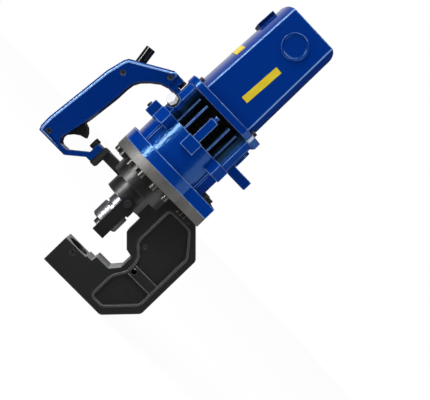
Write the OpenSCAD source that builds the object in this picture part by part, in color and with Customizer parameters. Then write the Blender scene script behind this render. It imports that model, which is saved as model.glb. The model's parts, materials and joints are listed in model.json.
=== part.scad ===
// Portable electric hydraulic hole punch, standing upright on its C-frame.
// The origin is on the punch axis at the base plane. +X runs toward the spine, -X toward the handle.

/* [C-frame] */
// Thickness of the C-frame across the throat
frame_t = 38; // [34:1:46]
// Height of the jaw that holds the die
jaw_h = 35; // [30:1:40]
// Diameter of the die seat
die_d = 27; // [22:0.5:29]
// Wall between the die seat and the front of the jaw
jaw_wall = 3.7; // [3:0.1:8]
// Depth of the throat behind the punch axis
throat_depth = 50; // [44:1:60]
// Width of the spine behind the throat
spine_w = 54.4; // [50:0.5:70]
// Height of the open throat above the jaw
throat_h = 74.5; // [72:0.5:90]

/* [Head] */
// Diameter of the lower neck ring
neck_d = 55.6; // [54:0.5:62]
// Height of the lower neck ring
neck_h = 19.3; // [17:0.1:26]
// How far the upper neck ring stands in from the edge of the flange
collar_step = 21.3; // [20:0.1:24]
// Height of the upper neck ring
collar_h = 21.7; // [20:0.1:30]
// Thickness of the frame flange
flange_h = 12; // [9:0.5:16]
// Radius of the round side of both flanges
flange_r = 58.3; // [57:0.1:64]
// Half width of the square lug on both flanges
lug_half = 47.5; // [45:0.5:52]
// Reach of the lug behind the punch axis
lug_x = 74.5; // [73:0.5:84]

/* [Hydraulics] */
// Bore of the main cylinder
bore_d = 52; // [46:1:56]
// Diameter of the chromed ram
ram_d = 30.8; // [28:0.2:32]
// Travel of the ram
stroke = 21; // [10:1:22]
// Diameter of the fitted punch
punch_d = 19; // [10:0.5:20]
// Diameter of the nut that holds the punch
nut_d = 33.8; // [32:0.2:36]
// Wire of the return spring
spring_wire = 4.4; // [3:0.1:4.8]

/* [Pump housing] */
// Offset of the pump and motor axis behind the punch axis
body_x = 4.8; // [2:0.1:6]
// Thickness of the blue flange
base_h = 14.5; // [12:0.5:20]
// How far the lower cylinder stands in from the edge of its flange
drum_step = 6.5; // [6:0.1:8]
// Height of the lower cylinder above its flange
drum_h = 38.5; // [37:0.5:50]
// Height of the fins and columns
fin_h = 39; // [36:0.5:50]

/* [Motor] */
// Thickness of the motor flange
motor_flange_h = 9.5; // [8:0.5:14]
// How far the motor cover's front and back stand in from the edge of the flange
cover_step = 15.3; // [14:0.1:17]
// Height of the motor cover
cover_h = 129; // [126:1:150]
// Wall of the motor cover
cover_wall = 3; // [2:0.1:3.4]
// How far the cover's front leans back at the top
cover_lean = 5; // [0:0.5:6]

/* [Handle] */
// Width of the handle across both halves
handle_w = 30; // [28:1:36]
// Reach of the handle in front of its brackets
handle_l = 67.8; // [64:0.2:80]
// Height of the handle
handle_h = 155.5; // [150:0.5:170]

/* [Hidden] */
$fn = 64;

// Clearances and cuts
fit = 0.05;
gap = 0.3;
over = 1;

// Colours
blue = "#0b3a9a";
black = "#232425";
steel = "#b9bcc0";
machined = "#6f6c68";

// C-frame outline
ledge_rise = 2;
ledge_w = 7.5;
arm_rise = 9;
step_run = 1;
throat_slope = 11;
throat_slope_run = 9;
throat_wall_h = 17;
throat_lip = 10;
throat_lip_rise = 2;
throat_roof_rise = 54;
throat_front = 25.7;
base_chamfer = 32;
base_chamfer_h = 34;
head_chamfer_h = 30;
collar_r = flange_r - collar_step;
drum_r = flange_r - drum_step;
jaw_front = -(die_d / 2 + jaw_wall);
jaw_back = die_d / 2 + step_run / 2;
spine_back = throat_depth + spine_w;
neck_z = jaw_h + throat_h;
collar_z = neck_z + neck_h;
flange_z = collar_z + collar_h;
base_z = flange_z + flange_h;
frame_split_drop = 2;
frame_split_z = neck_z - frame_split_drop;
casting_reach = 2 * spine_back;
drum_z = base_z + base_h;
fin_z = drum_z + drum_h;
motor_flange_z = fin_z + fin_h;
cover_z = motor_flange_z + motor_flange_h;
cover_top = cover_z + cover_h;

// Recessed panels on both faces of the spine
panel_depth = 3;
panel_rim = 10;
panel_inset = 6;
band_z = 56;
band_h = 12.3;
panel_top_gap = 12;
panel_low_w = 43.5;
panel_corner = 21;
panel_low_gap = 20;

// Gauge hole in the raised band
gauge_r = 3.4;
gauge_back = 14;
gauge_x = throat_depth + gauge_back;
gauge_z = band_z + band_h / 2;

// Stripper bars on flats of the lower neck
bar_w = 15.8;
bar_t = 9;
bar_x = 4;
bar_seat_y = 25;
bar_l = 53;
bar_top_gap = 10.4;
bar_seat_side = 0.5;
bar_screw_r = 2.5;
bar_screw_head_r = 4;
bar_screw_head_h = 2.5;
bar_screw_l = 6;
bar_screw_inset = 6;
bar_top = collar_z - bar_top_gap;

// Set screws
set_screw_r = 3;
set_screw_drop = 7;
set_screw_sink = 0.4;
plug_screw_r = 2.4;
plug_screw_l = 6;
plug_screw_back = 3;
plug_screw_drop = 19;
plug_screw_x = throat_depth + plug_screw_back;
plug_screw_z = neck_z - plug_screw_drop;

// Handle arm on the neck
arm_w = 20;
arm_h = 11.5;
arm_drop = 4;
arm_z = collar_z - arm_drop;
pad_t = 7;
handle_gap = 6.1;
handle_x = body_x - flange_r - handle_gap;
arm_tip = handle_x + pad_t;

// Cylinder, ram and punch
neck_floor = 8;
barrel_h = 21.5;
barrel_gap = 9;
drum_wall = 5.8;
cavity_r = drum_r - drum_wall;
barrel_r = cavity_r - barrel_gap;
bore_r = bore_d / 2;
ram_r = ram_d / 2;
bush_wall = 2.6;
seal_h = 2;
bore_floor = neck_z + neck_floor;
spring_turns = 4;
spring_spare = 1.4;
spring_rest = stroke + spring_turns * spring_wire + spring_spare;
piston_h = 16;
piston_z = bore_floor + spring_rest;
piston_top = piston_z + piston_h;
seal_groove = 2;
seal_groove_h = 4;
ram_out = 11.2;
ram_neck = 3.7;
ram_neck_r = 13.1;
ram_z = neck_z - ram_out;
nut_h = 20;
nut_top = ram_z - ram_neck;
nut_z = nut_top - nut_h;
nut_lip = 3.4;
nut_chamfer = 1.6;
ram_stub_r = 12;
ram_stub_h = 9;
punch_out = 6.5;
punch_head_r = 12;
punch_head_h = nut_h - nut_lip - ram_stub_h;
spanner_d = 1.9;
spanner_side = 3.4;
spanner_rise = 1.7;
spanner_deep = 3;
spring_r = (bore_r + ram_r) / 2;
spring_sides = 6;
rings_per_turn = 8;

// Fasteners of the flanges
bolt_edge = 5.3;
bolt_circle = flange_r - bolt_edge;
bolt_r = 2.9;
bolt_head_r = 4.2;
bolt_head_h = 6.5;
bolt_grip = 10;
bolt_socket_r = 2;
bolt_socket_h = 3;
bolt_side = 3.3;
last_bolt_angle = acos((frame_t / 2 + bolt_head_r + bolt_side) / bolt_circle);
bolt_angles = [-75, -55, -35, -15, 5, 25, last_bolt_angle];
lug_bolt_x = 61;
lug_bolt_y = 38;
lug_bolt_r = 3.5;
lug_bolt_head_r = 6.4;
lug_bolt_head_h = 5.2;

// Pump housing
fin_root = 3;
fin_in = cavity_r - fin_root;
fin_sink = 1.3;
fin_out = drum_r - fin_sink;
fin_t = 2.4;
fin_gap_top = 4.5;
fin_angles = [-34, -20, 20, 34];
column_w = 11;
column_proud = 11.2;
column_out = drum_r + column_proud;
column_angle = 45;
side_column_w = 24;
side_column_sink = 0.8;
side_column_out = drum_r - side_column_sink;
post_w = 10;
post_proud = 3.2;
post_deep = 10;
post_out = drum_r + post_proud;
post_in = post_out - post_deep;
post_drop = 10.5;
post_bolt_r = 2;
post_bolt_head_r = 2.9;
post_bolt_head_h = 5;
post_bolt_l = 15;
post_bolt_edge = 4.5;
post_bolt_circle = post_out - post_bolt_edge;
boss_w = 18;
boss_h = 15;
boss_proud = 0.4;
boss_lap = 2;
boss_out = post_out + boss_lap;
column_boss_lap = 0.5;
column_boss_out = column_out + column_boss_lap;
rib_w = 4;
rib_proud = 1.7;
rib_out = drum_r + rib_proud;

// Pump and gears
pump_r = cavity_r - gap;
pump_h = 30;
pump_z = base_z + barrel_h;
piston_clear = 2.5;
spigot_h = pump_z - piston_top - piston_clear;
case_wall = 3;
case_r = fin_in - gap;
gear_side = 0.45;
pinion_teeth = 11;
gear_teeth = 33;
gear_lash = 0.4;
gear_addendum_share = 0.75;
gear_dedendum_share = 1.25;
pressure_angle = 20;
gear_reach = pinion_teeth / 2 + gear_teeth + gear_addendum_share;
gear_module = (case_r - case_wall - gear_side) / gear_reach;
gear_h = 7;
gear_distance = gear_module * (pinion_teeth + gear_teeth) / 2;
eccentric_x = body_x - gear_distance;
eccentric_r = 8;
eccentric_throw = 1.5;
eccentric_h = 12;
eccentric_ring = 2.2;
eccentric_collar = 1;
shaft_r = 6;
bush_h = 4;
bush_ring = 3;
pit_r = 13;
pit_floor = 8;
shaft_z = pump_z + pit_floor - bush_h;
eccentric_z = pump_z + pit_floor + bush_h / 2;
plunger_r = 4;
plunger_share = 0.612;
plunger_z = eccentric_z + eccentric_h / 2;
plunger_tip = eccentric_r + eccentric_ring + eccentric_throw + gap;
plunger_wire = 0.8;
plunger_turns = 4;
plunger_bore_end = sqrt(pump_r * pump_r - gear_distance * gear_distance) - gap;
plunger_l = plunger_share * (plunger_bore_end - plunger_tip);

// Bladder and gear case
case_floor = 4;
gear_room = 5;
gear_lift = 1;
shaft_proud = 1;
case_z = motor_flange_z - gear_room - gear_h - case_floor;
bladder_z = fin_z + gap;
gear_z = case_z + case_floor + gear_lift;

// Motor flange and cover
plate_proud_x = 0.9;
plate_proud_y = 0.2;
plate_half_x = drum_r + plate_proud_x;
plate_half_y = drum_r + plate_proud_y;
plate_round = 20;
plate_chamfer_x = 22;
plate_chamfer_y = 16;
plate_shift = 0.6;
plate_x = body_x + plate_shift;
cover_x = body_x - plate_shift;
cover_half = flange_r - cover_step;
cover_side_step = 16.3;
cover_y_half = flange_r - cover_side_step;
front_rise = 11.4;
face_front = cover_half - front_rise;
back_rise = 9.7;
face_back = cover_half - back_rise;
top_round = 7;
round_lap = 0.4;
corner_screw_r = 2.2;
corner_screw_head_r = 3;
corner_screw_head_h = 4;
corner_screw_l = 18;
corner_screw_in_x = 11.7;
corner_screw_in_y = 9.9;
corner_screw_x = plate_half_x - corner_screw_in_x;
corner_screw_y = plate_half_y - corner_screw_in_y;

// Motor inside
axle_r = 5;
tail_r = 4;
nose_share = 0.8;
nose_r = nose_share * gear_module * (pinion_teeth / 2 - gear_dedendum_share);
nose_proud = 0.5;
tail_gap = 1;
axle_gap = 1;
bearing_ring = 8;
bearing_h = 7;
bearing_floor = 1.5;
tail_bearing_ring = 7;
tail_boss_wall = 3;
stator_gap = 1.8;
stator_r = cover_y_half - cover_wall - stator_gap;
stator_bore_share = 0.6183;
air_gap = 0.6;
core_r = stator_bore_share * stator_r;
core_share = 0.3876;
core_h = core_share * cover_h;
core_lift_share = 0.186;
core_lift = core_lift_share * cover_h;
fan_gap = 7.2;
fan_r = stator_r - fan_gap;
fan_h = 10;
fan_lift = 4;
fan_hub = 5;
fan_blades = 12;
fan_blade_t = 1.6;
fan_disc = 2;
commutator_core_share = 0.5652;
commutator_r = commutator_core_share * core_r;
commutator_share = 0.1395;
commutator_h = commutator_share * cover_h;
cap_drop = 29;
cap_shift = 2.4;
cap_z = cover_top - cap_drop;
cap_x = body_x + cap_shift;
cap_r = 15.6;
cap_proud = 2.5;
cap_dish = 1.2;
cap_rim = 2.8;
cap_plug_r = 10;
brush_half = 3;
brush_share = 0.6154;
brush_l = brush_share * (cover_y_half - cover_wall - commutator_r);
holder_r = 6;

// Small parts on the cover
vent_w = 30;
vent_h = 23.5;
vent_t = 4.5;
vent_drop = 37.4;
vent_root = 3;
vent_slots = 5;
vent_slot_h = 2;
vent_slot_deep = 1.5;
sticker_t = 0.4;
side_sticker_w = 8.6;
side_sticker_share = 0.3876;
side_sticker_h = side_sticker_share * cover_h;
side_sticker_x = 8;
side_sticker_drop_share = 0.6512;
side_sticker_drop = side_sticker_drop_share * cover_h;
side_sticker_tilt = 2.9;
front_sticker_w = 30;
front_sticker_h = 12.5;
front_sticker_share = 0.6124;
front_sticker_drop = front_sticker_share * cover_h;
front_sticker_in = 10;
front_sticker_y = front_sticker_in - cover_y_half;
front_lean = atan(cover_lean / cover_h);

// Handle outline, as shares of its reach and height, from the upper bracket round the grip to the lower tab
handle_bolt_z = arm_z + arm_h / 2;
bolt_share = 0.2138;
handle_z = handle_bolt_z - bolt_share * handle_h;
outline_shares = [[0, 1], [0.11, 1], [0.776, 0.823], [0.815, 0.79], [0.888, 0.651], [1, 0.123], [0.995, 0.035],
    [0.96, 0], [0.385, 0], [0.1, 0.107], [0, 0.107], [0, 0.236], [0.115, 0.236], [0.115, 0.152], [0.41, 0.043],
    [0.55, 0.041], [0.59, 0.052], [0.62, 0.075], [0.62, 0.1], [0.588, 0.131], [0.515, 0.317], [0.457, 0.56],
    [0.452, 0.66], [0.435, 0.715], [0.38, 0.762], [0.271, 0.814], [0.13, 0.864], [0, 0.884]];
cavity_shares = [[0.94, 0.11], [0.68, 0.11], [0.6, 0.31], [0.53, 0.58], [0.53, 0.66], [0.83, 0.66]];
slot_shares = [[0.79, 0.08], [0.45, 0.08], [0.45, 0.3], [0.74, 0.3]];
screw_shares = [[0.672, 0.7215], [0.832, 0.046], [0.078, 0.945]];
handle_wall = 3;
handle_screw_r = 1.8;
handle_screw_head_r = 3.2;
handle_screw_head_h = 2.6;
handle_screw_end = 4;
trigger_w = 13;
trigger_side = 0.4;
trigger_shares = [[0.68, 0.09], [0.62, 0.1], [0.53, 0.15], [0.43, 0.182], [0.322, 0.196], [0.36, 0.232],
    [0.43, 0.262], [0.53, 0.277], [0.64, 0.288], [0.67, 0.27]];
pivot_shares = [0.612, 0.265];
pivot_r = 1.5;
pivot_boss = 2;
switch_shares = [[0.925, 0.13], [0.79, 0.13], [0.77, 0.33], [0.885, 0.33]];
switch_w = 18;
trigger_spring_r = 2.4;
trigger_wire = 0.6;
trigger_turns = 4;
trigger_spring_share = 0.2;
trigger_back_share = 0.677;
switch_front_share = 0.783;

// Cord guard
guard_shares = [0.61, 0.86];
guard_r = 5.9;
guard_bore_r = 3.4;
guard_l = 38.8;
guard_sink = 18;
guard_lean = 9;

// Handle brackets
bracket_gap = 8.2;
bracket_w = 26;
bracket_top_share = 1;
bracket_low_share = 0.885;
bracket_foot_h = 7.5;
bracket_foot_drop = 11.3;
bracket_foot_top = motor_flange_z - bracket_foot_drop;
bracket_bolt_r = 2;
bracket_bolt_head_r = 4.8;
bracket_bolt_head_h = 3.8;
bracket_bolt_l = 16;
bracket_bolt_drop = 4;
pad_w = 28;
pad_top_gap = 2.3;
pad_h = 23.5;
pad_top = handle_z + outline_shares[12][1] * handle_h + pad_top_gap;
handle_bolt_r = 3;
handle_bolt_head_r = 6.2;
handle_bolt_head_h = 6.4;
handle_bolt_l = 22;
handle_bolt_tip = 1;
tab_front = handle_x - outline_shares[12][0] * handle_l;

// Filler plug and release valve
plug_rise = 12;
plug_z = fin_z + plug_rise;
plug_boss_r = 8;
plug_boss_proud = 2;
plug_boss_out = column_out + plug_boss_proud;
plug_r = 4.5;
plug_l = 9;
plug_head_r = 6.6;
plug_head_h = 5.5;
washer_h = 1.5;
washer_r = 7.6;
release_t = 10.9;
release_seat = body_x - drum_r;
release_x = release_seat - release_t;
release_w = 18;
release_h = 17;
release_y = -13;
release_screw_r = 2.5;
release_head_r = 3.4;
release_head_h = 2.6;
release_l = 9;
release_slot = 1;

// Rest foot and rear plate
back_seat = body_x + side_column_out;
foot_l = 29.5;
foot_h = 11.8;
foot_w = 16;
foot_stud_r = 4;
foot_stud_l = 7;
foot_rise = 0.5;
foot_z = fin_z + foot_rise;
rear_t = 4;
rear_w = 22;
rear_h = 22;
rear_gap = 0.5;
rear_z = foot_z + foot_h + rear_gap;

// Outline given in X and Z, given a thickness across Y
module slab(t) {
    rotate([90, 0, 0])
        linear_extrude(t, center = true)
            children();
}

// Turns a piece made along Z to point along X
module along_x() {
    rotate([0, 90, 0])
        children();
}

// Turns a piece made along Z to point along -Y
module along_near() {
    rotate([90, 0, 0])
        children();
}

// Both sides, near and far
module both_sides() {
    children();
    mirror([0, 1, 0])
        children();
}

// Places a piece that faces -Y round the pump axis
module round_body(angle) {
    translate([body_x, 0, 0])
        rotate([0, 0, angle])
            children();
}

module tube(outer, inner, height) {
    difference() {
        cylinder(r = outer, h = height);
        translate([0, 0, -over])
            cylinder(r = inner, h = height + 2 * over);
    }
}

module hexagon(r, height) {
    cylinder(r = r, h = height, $fn = 6);
}

// Block that stands out from the pump axis toward -Y, between two radii
module spoke(width, inner, outer, height) {
    translate([-width / 2, -outer, 0])
        cube([width, outer - inner, height]);
}

// Socket-head screw along +Z: the head hangs below zero
module cap_screw(r, l, head_r, head_h, socket_r, socket_h) {
    cylinder(r = r, h = l);
    translate([0, 0, -head_h])
        difference() {
            cylinder(r = head_r, h = head_h);
            translate([0, 0, -over])
                hexagon(socket_r, socket_h + over);
        }
}

// Points of a coil round Z, and the tube that follows them
function coil_points(r, height, turns) = [for (i = [0 : turns * rings_per_turn])
    let (angle = 360 * i / rings_per_turn)
    [r * cos(angle), r * sin(angle), height * i / (turns * rings_per_turn)]];

function coil_ring(p, wire) = [for (k = [0 : spring_sides - 1])
    p + wire / 2 * (cos(360 * k / spring_sides) * [p.x, p.y, 0] / norm([p.x, p.y])
        + sin(360 * k / spring_sides) * [0, 0, 1])];

function coil_gap(points, wire) = min([for (i = [0 : len(points) - rings_per_turn - 1])
    norm(points[i + rings_per_turn] - points[i])]) - wire;

module coil(r, height, turns, wire) {
    path = coil_points(r, height - wire, turns);
    rings = len(path);
    corners = [for (p = path) each coil_ring(p, wire)];
    sides = [for (i = [0 : rings - 2], k = [0 : spring_sides - 1], half = [0, 1])
        let (a = i * spring_sides + k, b = i * spring_sides + (k + 1) % spring_sides)
        half == 0 ? [a, b, b + spring_sides] : [a, b + spring_sides, a + spring_sides]];
    first = [for (k = [1 : spring_sides - 2]) [0, k + 1, k]];
    start = (rings - 1) * spring_sides;
    last = [for (k = [1 : spring_sides - 2]) [start, start + k, start + k + 1]];
    translate([0, 0, wire / 2])
        polyhedron(corners, concat(sides, first, last));
    echo(str("least gap of a coil to itself, mm: ", coil_gap(path, wire)));
}

// Outline of one gear, with involute flanks
function involute(angle) = tan(angle) * 180 / PI - angle;

function flank(pitch, base, teeth, r) = 90 / teeth + involute(pressure_angle)
    - (r > base ? involute(acos(base / r)) : 0) - gear_lash / pitch * 90 / PI;

function gear_points(teeth) = let (
    pitch = gear_module * teeth / 2,
    base = pitch * cos(pressure_angle),
    root = pitch - gear_dedendum_share * gear_module,
    tip = pitch + gear_addendum_share * gear_module,
    low = max(base, root),
    radii = [root, low, (low + pitch) / 2, pitch, (pitch + tip) / 2, tip])
    [for (tooth = [0 : teeth - 1], side = [-1, 1], i = [0 : len(radii) - 1])
        let (r = side < 0 ? radii[i] : radii[len(radii) - 1 - i],
            a = 360 * tooth / teeth + side * flank(pitch, base, teeth, r))
        [r * cos(a), r * sin(a)]];

module gear(teeth, bore, height) {
    difference() {
        linear_extrude(height)
            polygon(gear_points(teeth));
        translate([0, 0, -over])
            cylinder(r = bore, h = height + 2 * over);
    }
}

// Place on the handle, from shares of its reach and height
function on_handle(share) = [handle_x - share[0] * handle_l, handle_z + share[1] * handle_h];

module on_handle_outline(shares) {
    polygon([for (s = shares) on_handle(s)]);
}

module at_handle(share) {
    translate([on_handle(share)[0], 0, on_handle(share)[1]])
        children();
}

// Flange outline shared by the frame and the pump housing
module flange_outline() {
    translate([body_x, 0])
        circle(r = flange_r);
    translate([body_x, -lug_half])
        square([lug_x - body_x, 2 * lug_half]);
}

module each_flange_bolt() {
    both_sides()
        for (angle = bolt_angles)
            round_body(angle)
                translate([0, -bolt_circle, 0])
                    children();
    round_body(-90)
        translate([0, -bolt_circle, 0])
            children();
}

module each_lug_bolt() {
    both_sides()
        translate([lug_bolt_x, -lug_bolt_y, 0])
            children();
}

// C-frame

function frame_outline() = let (
    arm_z1 = jaw_h + arm_rise,
    arm_x0 = jaw_back + ledge_w,
    wall_z = arm_z1 + throat_slope,
    roof_z = wall_z + throat_wall_h)
    [[jaw_front, 0], [spine_back - base_chamfer, 0], [spine_back, base_chamfer_h],
    [spine_back, flange_z - head_chamfer_h], [lug_x - step_run, flange_z], [0, flange_z], [0, neck_z],
    [throat_front, neck_z], [throat_front, jaw_h + throat_roof_rise - step_run],
    [throat_depth - throat_lip, roof_z + throat_lip_rise], [throat_depth - step_run, roof_z],
    [throat_depth, roof_z - step_run], [throat_depth, wall_z], [throat_depth - throat_slope_run, arm_z1],
    [arm_x0 + step_run, arm_z1], [arm_x0, jaw_h + ledge_rise], [jaw_back, jaw_h + ledge_rise],
    [jaw_back, jaw_h], [jaw_front, jaw_h]];

function high_panel() = [[throat_depth - panel_inset, flange_z - panel_top_gap],
    [spine_back - panel_rim - panel_corner, flange_z - panel_top_gap],
    [spine_back - panel_rim, flange_z - head_chamfer_h - panel_inset],
    [spine_back - panel_rim, band_z + band_h], [throat_depth + panel_rim, band_z + band_h],
    [throat_depth + panel_rim - panel_inset / 2, band_z + band_h + panel_rim],
    [throat_depth - panel_inset, neck_z - panel_low_gap]];

function low_panel() = [[throat_depth + panel_rim, band_z], [spine_back - panel_rim, band_z],
    [spine_back - panel_rim, base_chamfer_h + panel_inset],
    [spine_back - base_chamfer - panel_inset, panel_rim], [spine_back - panel_rim - panel_low_w, panel_rim],
    [spine_back - panel_rim - panel_low_w, base_chamfer_h + panel_inset]];

module frame_casting() {
    color(black)
        difference() {
            union() {
                slab(frame_t)
                    polygon(frame_outline());
                translate([0, 0, neck_z])
                    cylinder(d = neck_d, h = neck_h + over);
                translate([0, 0, collar_z])
                    cylinder(r = collar_r, h = collar_h + over);
                translate([0, 0, flange_z])
                    cylinder(r = barrel_r, h = flange_h + barrel_h);
                translate([0, 0, flange_z])
                    linear_extrude(flange_h)
                        flange_outline();
                translate([arm_tip, -arm_w / 2, arm_z])
                    cube([-arm_tip - ram_r - bush_wall - over, arm_w, arm_h]);
            }
            both_sides()
                translate([0, -frame_t / 2 + panel_depth - frame_t / 2, 0])
                    slab(frame_t) {
                        polygon(high_panel());
                        polygon(low_panel());
                    }
            translate([0, 0, -over])
                cylinder(d = die_d, h = jaw_h + 2 * over);
            translate([0, 0, bore_floor])
                cylinder(r = bore_r, h = base_z + barrel_h - bore_floor + over);
            translate([0, 0, neck_z - over])
                cylinder(r = ram_r + bush_wall, h = neck_floor + 2 * over);
            both_sides() {
                translate([bar_x - bar_w / 2 - bar_seat_side, -bar_seat_y - bar_t - over, neck_z - over])
                    cube([bar_w + 2 * bar_seat_side, bar_t + over, bar_top + bar_seat_side - neck_z + over]);
                translate([bar_x, -bar_seat_y - over, bar_top - bar_screw_inset])
                    rotate([-90, 0, 0])
                        cylinder(r = bar_screw_r, h = bar_screw_l + over);
            }
            translate([0, 0, jaw_h - set_screw_drop])
                along_near()
                    cylinder(r = set_screw_r, h = frame_t);
            translate([plug_screw_x, -frame_t / 2 + panel_depth + plug_screw_l, plug_screw_z])
                along_near()
                    cylinder(r = plug_screw_r, h = frame_t);
            translate([gauge_x, frame_t / 2 + over, gauge_z])
                along_near()
                    cylinder(r = gauge_r, h = frame_t + 2 * over);
            translate([0, 0, flange_z - over]) {
                each_flange_bolt()
                    cylinder(r = bolt_r + fit, h = flange_h + 2 * over);
                each_lug_bolt()
                    cylinder(r = lug_bolt_r + fit, h = flange_h + 2 * over);
            }
            translate([arm_tip - over, 0, handle_bolt_z])
                along_x()
                    cylinder(r = handle_bolt_r, h = handle_bolt_l + handle_bolt_tip + over);
        }
}

// The casting is kept in two nodes, which meet at a plane under the neck.

module c_frame() {
    intersection() {
        frame_casting();
        translate([-casting_reach, -casting_reach, -over])
            cube([2 * casting_reach, 2 * casting_reach, frame_split_z + over]);
    }
}

module frame_head() {
    intersection() {
        frame_casting();
        translate([-casting_reach, -casting_reach, frame_split_z])
            cube([2 * casting_reach, 2 * casting_reach, base_z + barrel_h]);
    }
}

module stripper_bars() {
    color(black)
        both_sides()
            difference() {
                translate([bar_x - bar_w / 2, -bar_seat_y - bar_t, bar_top - bar_l])
                    cube([bar_w, bar_t, bar_l]);
                translate([bar_x, 0, bar_top - bar_screw_inset])
                    along_near()
                        cylinder(r = bar_screw_r, h = bar_seat_y + bar_t + over);
            }
}

module stripper_screws() {
    color(black)
        both_sides()
            translate([bar_x, -bar_seat_y - bar_t, bar_top - bar_screw_inset])
                rotate([-90, 0, 0])
                    cap_screw(bar_screw_r, bar_t + bar_screw_l, bar_screw_head_r, bar_screw_head_h,
                        bar_screw_r / 2, bar_screw_head_h / 2);
}

module set_screws() {
    color(steel) {
        translate([0, -frame_t / 2 + set_screw_sink, jaw_h - set_screw_drop])
            rotate([-90, 0, 0])
                difference() {
                    cylinder(r = set_screw_r, h = (frame_t - die_d) / 2 - 2 * set_screw_sink);
                    translate([0, 0, -over])
                        hexagon(set_screw_r / 2, set_screw_r / 2 + over);
                }
        translate([plug_screw_x, -frame_t / 2 + panel_depth + set_screw_sink, plug_screw_z])
            rotate([-90, 0, 0])
                difference() {
                    cylinder(r = plug_screw_r, h = plug_screw_l - set_screw_sink);
                    translate([0, 0, -over])
                        hexagon(plug_screw_r / 2, plug_screw_r / 2 + over);
                }
    }
}

// Ram, piston and punch

module ram() {
    color(steel) {
        translate([0, 0, nut_top - ram_stub_h])
            cylinder(r = ram_stub_r, h = ram_stub_h + ram_neck);
        translate([0, 0, nut_top])
            cylinder(r = ram_neck_r, h = ram_neck);
        translate([0, 0, ram_z])
            cylinder(r = ram_r, h = piston_z - ram_z);
    }
}

module ram_piston() {
    color(machined)
        translate([0, 0, piston_z])
            difference() {
                cylinder(r = bore_r - fit, h = piston_h);
                translate([0, 0, (piston_h - seal_groove_h) / 2])
                    tube(bore_r + over, bore_r - seal_groove, seal_groove_h);
            }
}

module piston_seal() {
    color(black)
        translate([0, 0, piston_z + (piston_h - seal_groove_h) / 2])
            tube(bore_r - fit, bore_r - seal_groove, seal_groove_h);
}

module rod_bush() {
    color("#b08a3c")
        translate([0, 0, neck_z + seal_h])
            tube(ram_r + bush_wall, ram_r + fit, neck_floor - seal_h);
}

module rod_seal() {
    color(black)
        translate([0, 0, neck_z])
            tube(ram_r + bush_wall, ram_r + fit, seal_h);
}

module return_spring() {
    color(steel)
        translate([0, 0, bore_floor])
            coil(spring_r, spring_rest, spring_turns, spring_wire);
}

module punch_nut() {
    color(steel)
        translate([0, 0, nut_z])
            difference() {
                rotate_extrude()
                    polygon([[punch_d / 2 + fit, 0], [nut_d / 2 - nut_chamfer, 0], [nut_d / 2, nut_chamfer],
                        [nut_d / 2, nut_h], [ram_stub_r + fit, nut_h], [ram_stub_r + fit, nut_lip],
                        [punch_d / 2 + fit, nut_lip]]);
                for (angle = [0 : 90 : 270])
                    rotate([0, 0, angle])
                        translate([-spanner_side, -nut_d / 2 - over, spanner_rise])
                            rotate([-90, 0, 0])
                                cylinder(d = spanner_d, h = spanner_deep + over);
            }
}

module punch() {
    color(machined) {
        translate([0, 0, nut_z - punch_out])
            cylinder(d = punch_d, h = punch_out + nut_lip + punch_head_h / 2);
        translate([0, 0, nut_z + nut_lip])
            cylinder(r = punch_head_r, h = punch_head_h);
    }
}

// Flange fasteners

module flange_bolts() {
    color(black)
        translate([0, 0, flange_z])
            each_flange_bolt()
                cap_screw(bolt_r, flange_h + bolt_grip, bolt_head_r, bolt_head_h, bolt_socket_r,
                    bolt_socket_h);
}

module lug_bolts() {
    color(black)
        each_lug_bolt() {
            translate([0, 0, flange_z - lug_bolt_head_h])
                hexagon(lug_bolt_head_r, lug_bolt_head_h);
            translate([0, 0, flange_z])
                cylinder(r = lug_bolt_r, h = flange_h + base_h);
            translate([0, 0, drum_z])
                hexagon(lug_bolt_head_r, lug_bolt_head_h);
        }
}

// Pump housing

module each_post() {
    for (angle = [0, 180])
        round_body(angle)
            children();
}

module each_column() {
    both_sides()
        for (angle = [-column_angle, column_angle])
            round_body(angle)
                children();
}

module at_filler() {
    round_body(-column_angle)
        translate([0, 0, plug_z])
            along_near()
                children();
}

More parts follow.
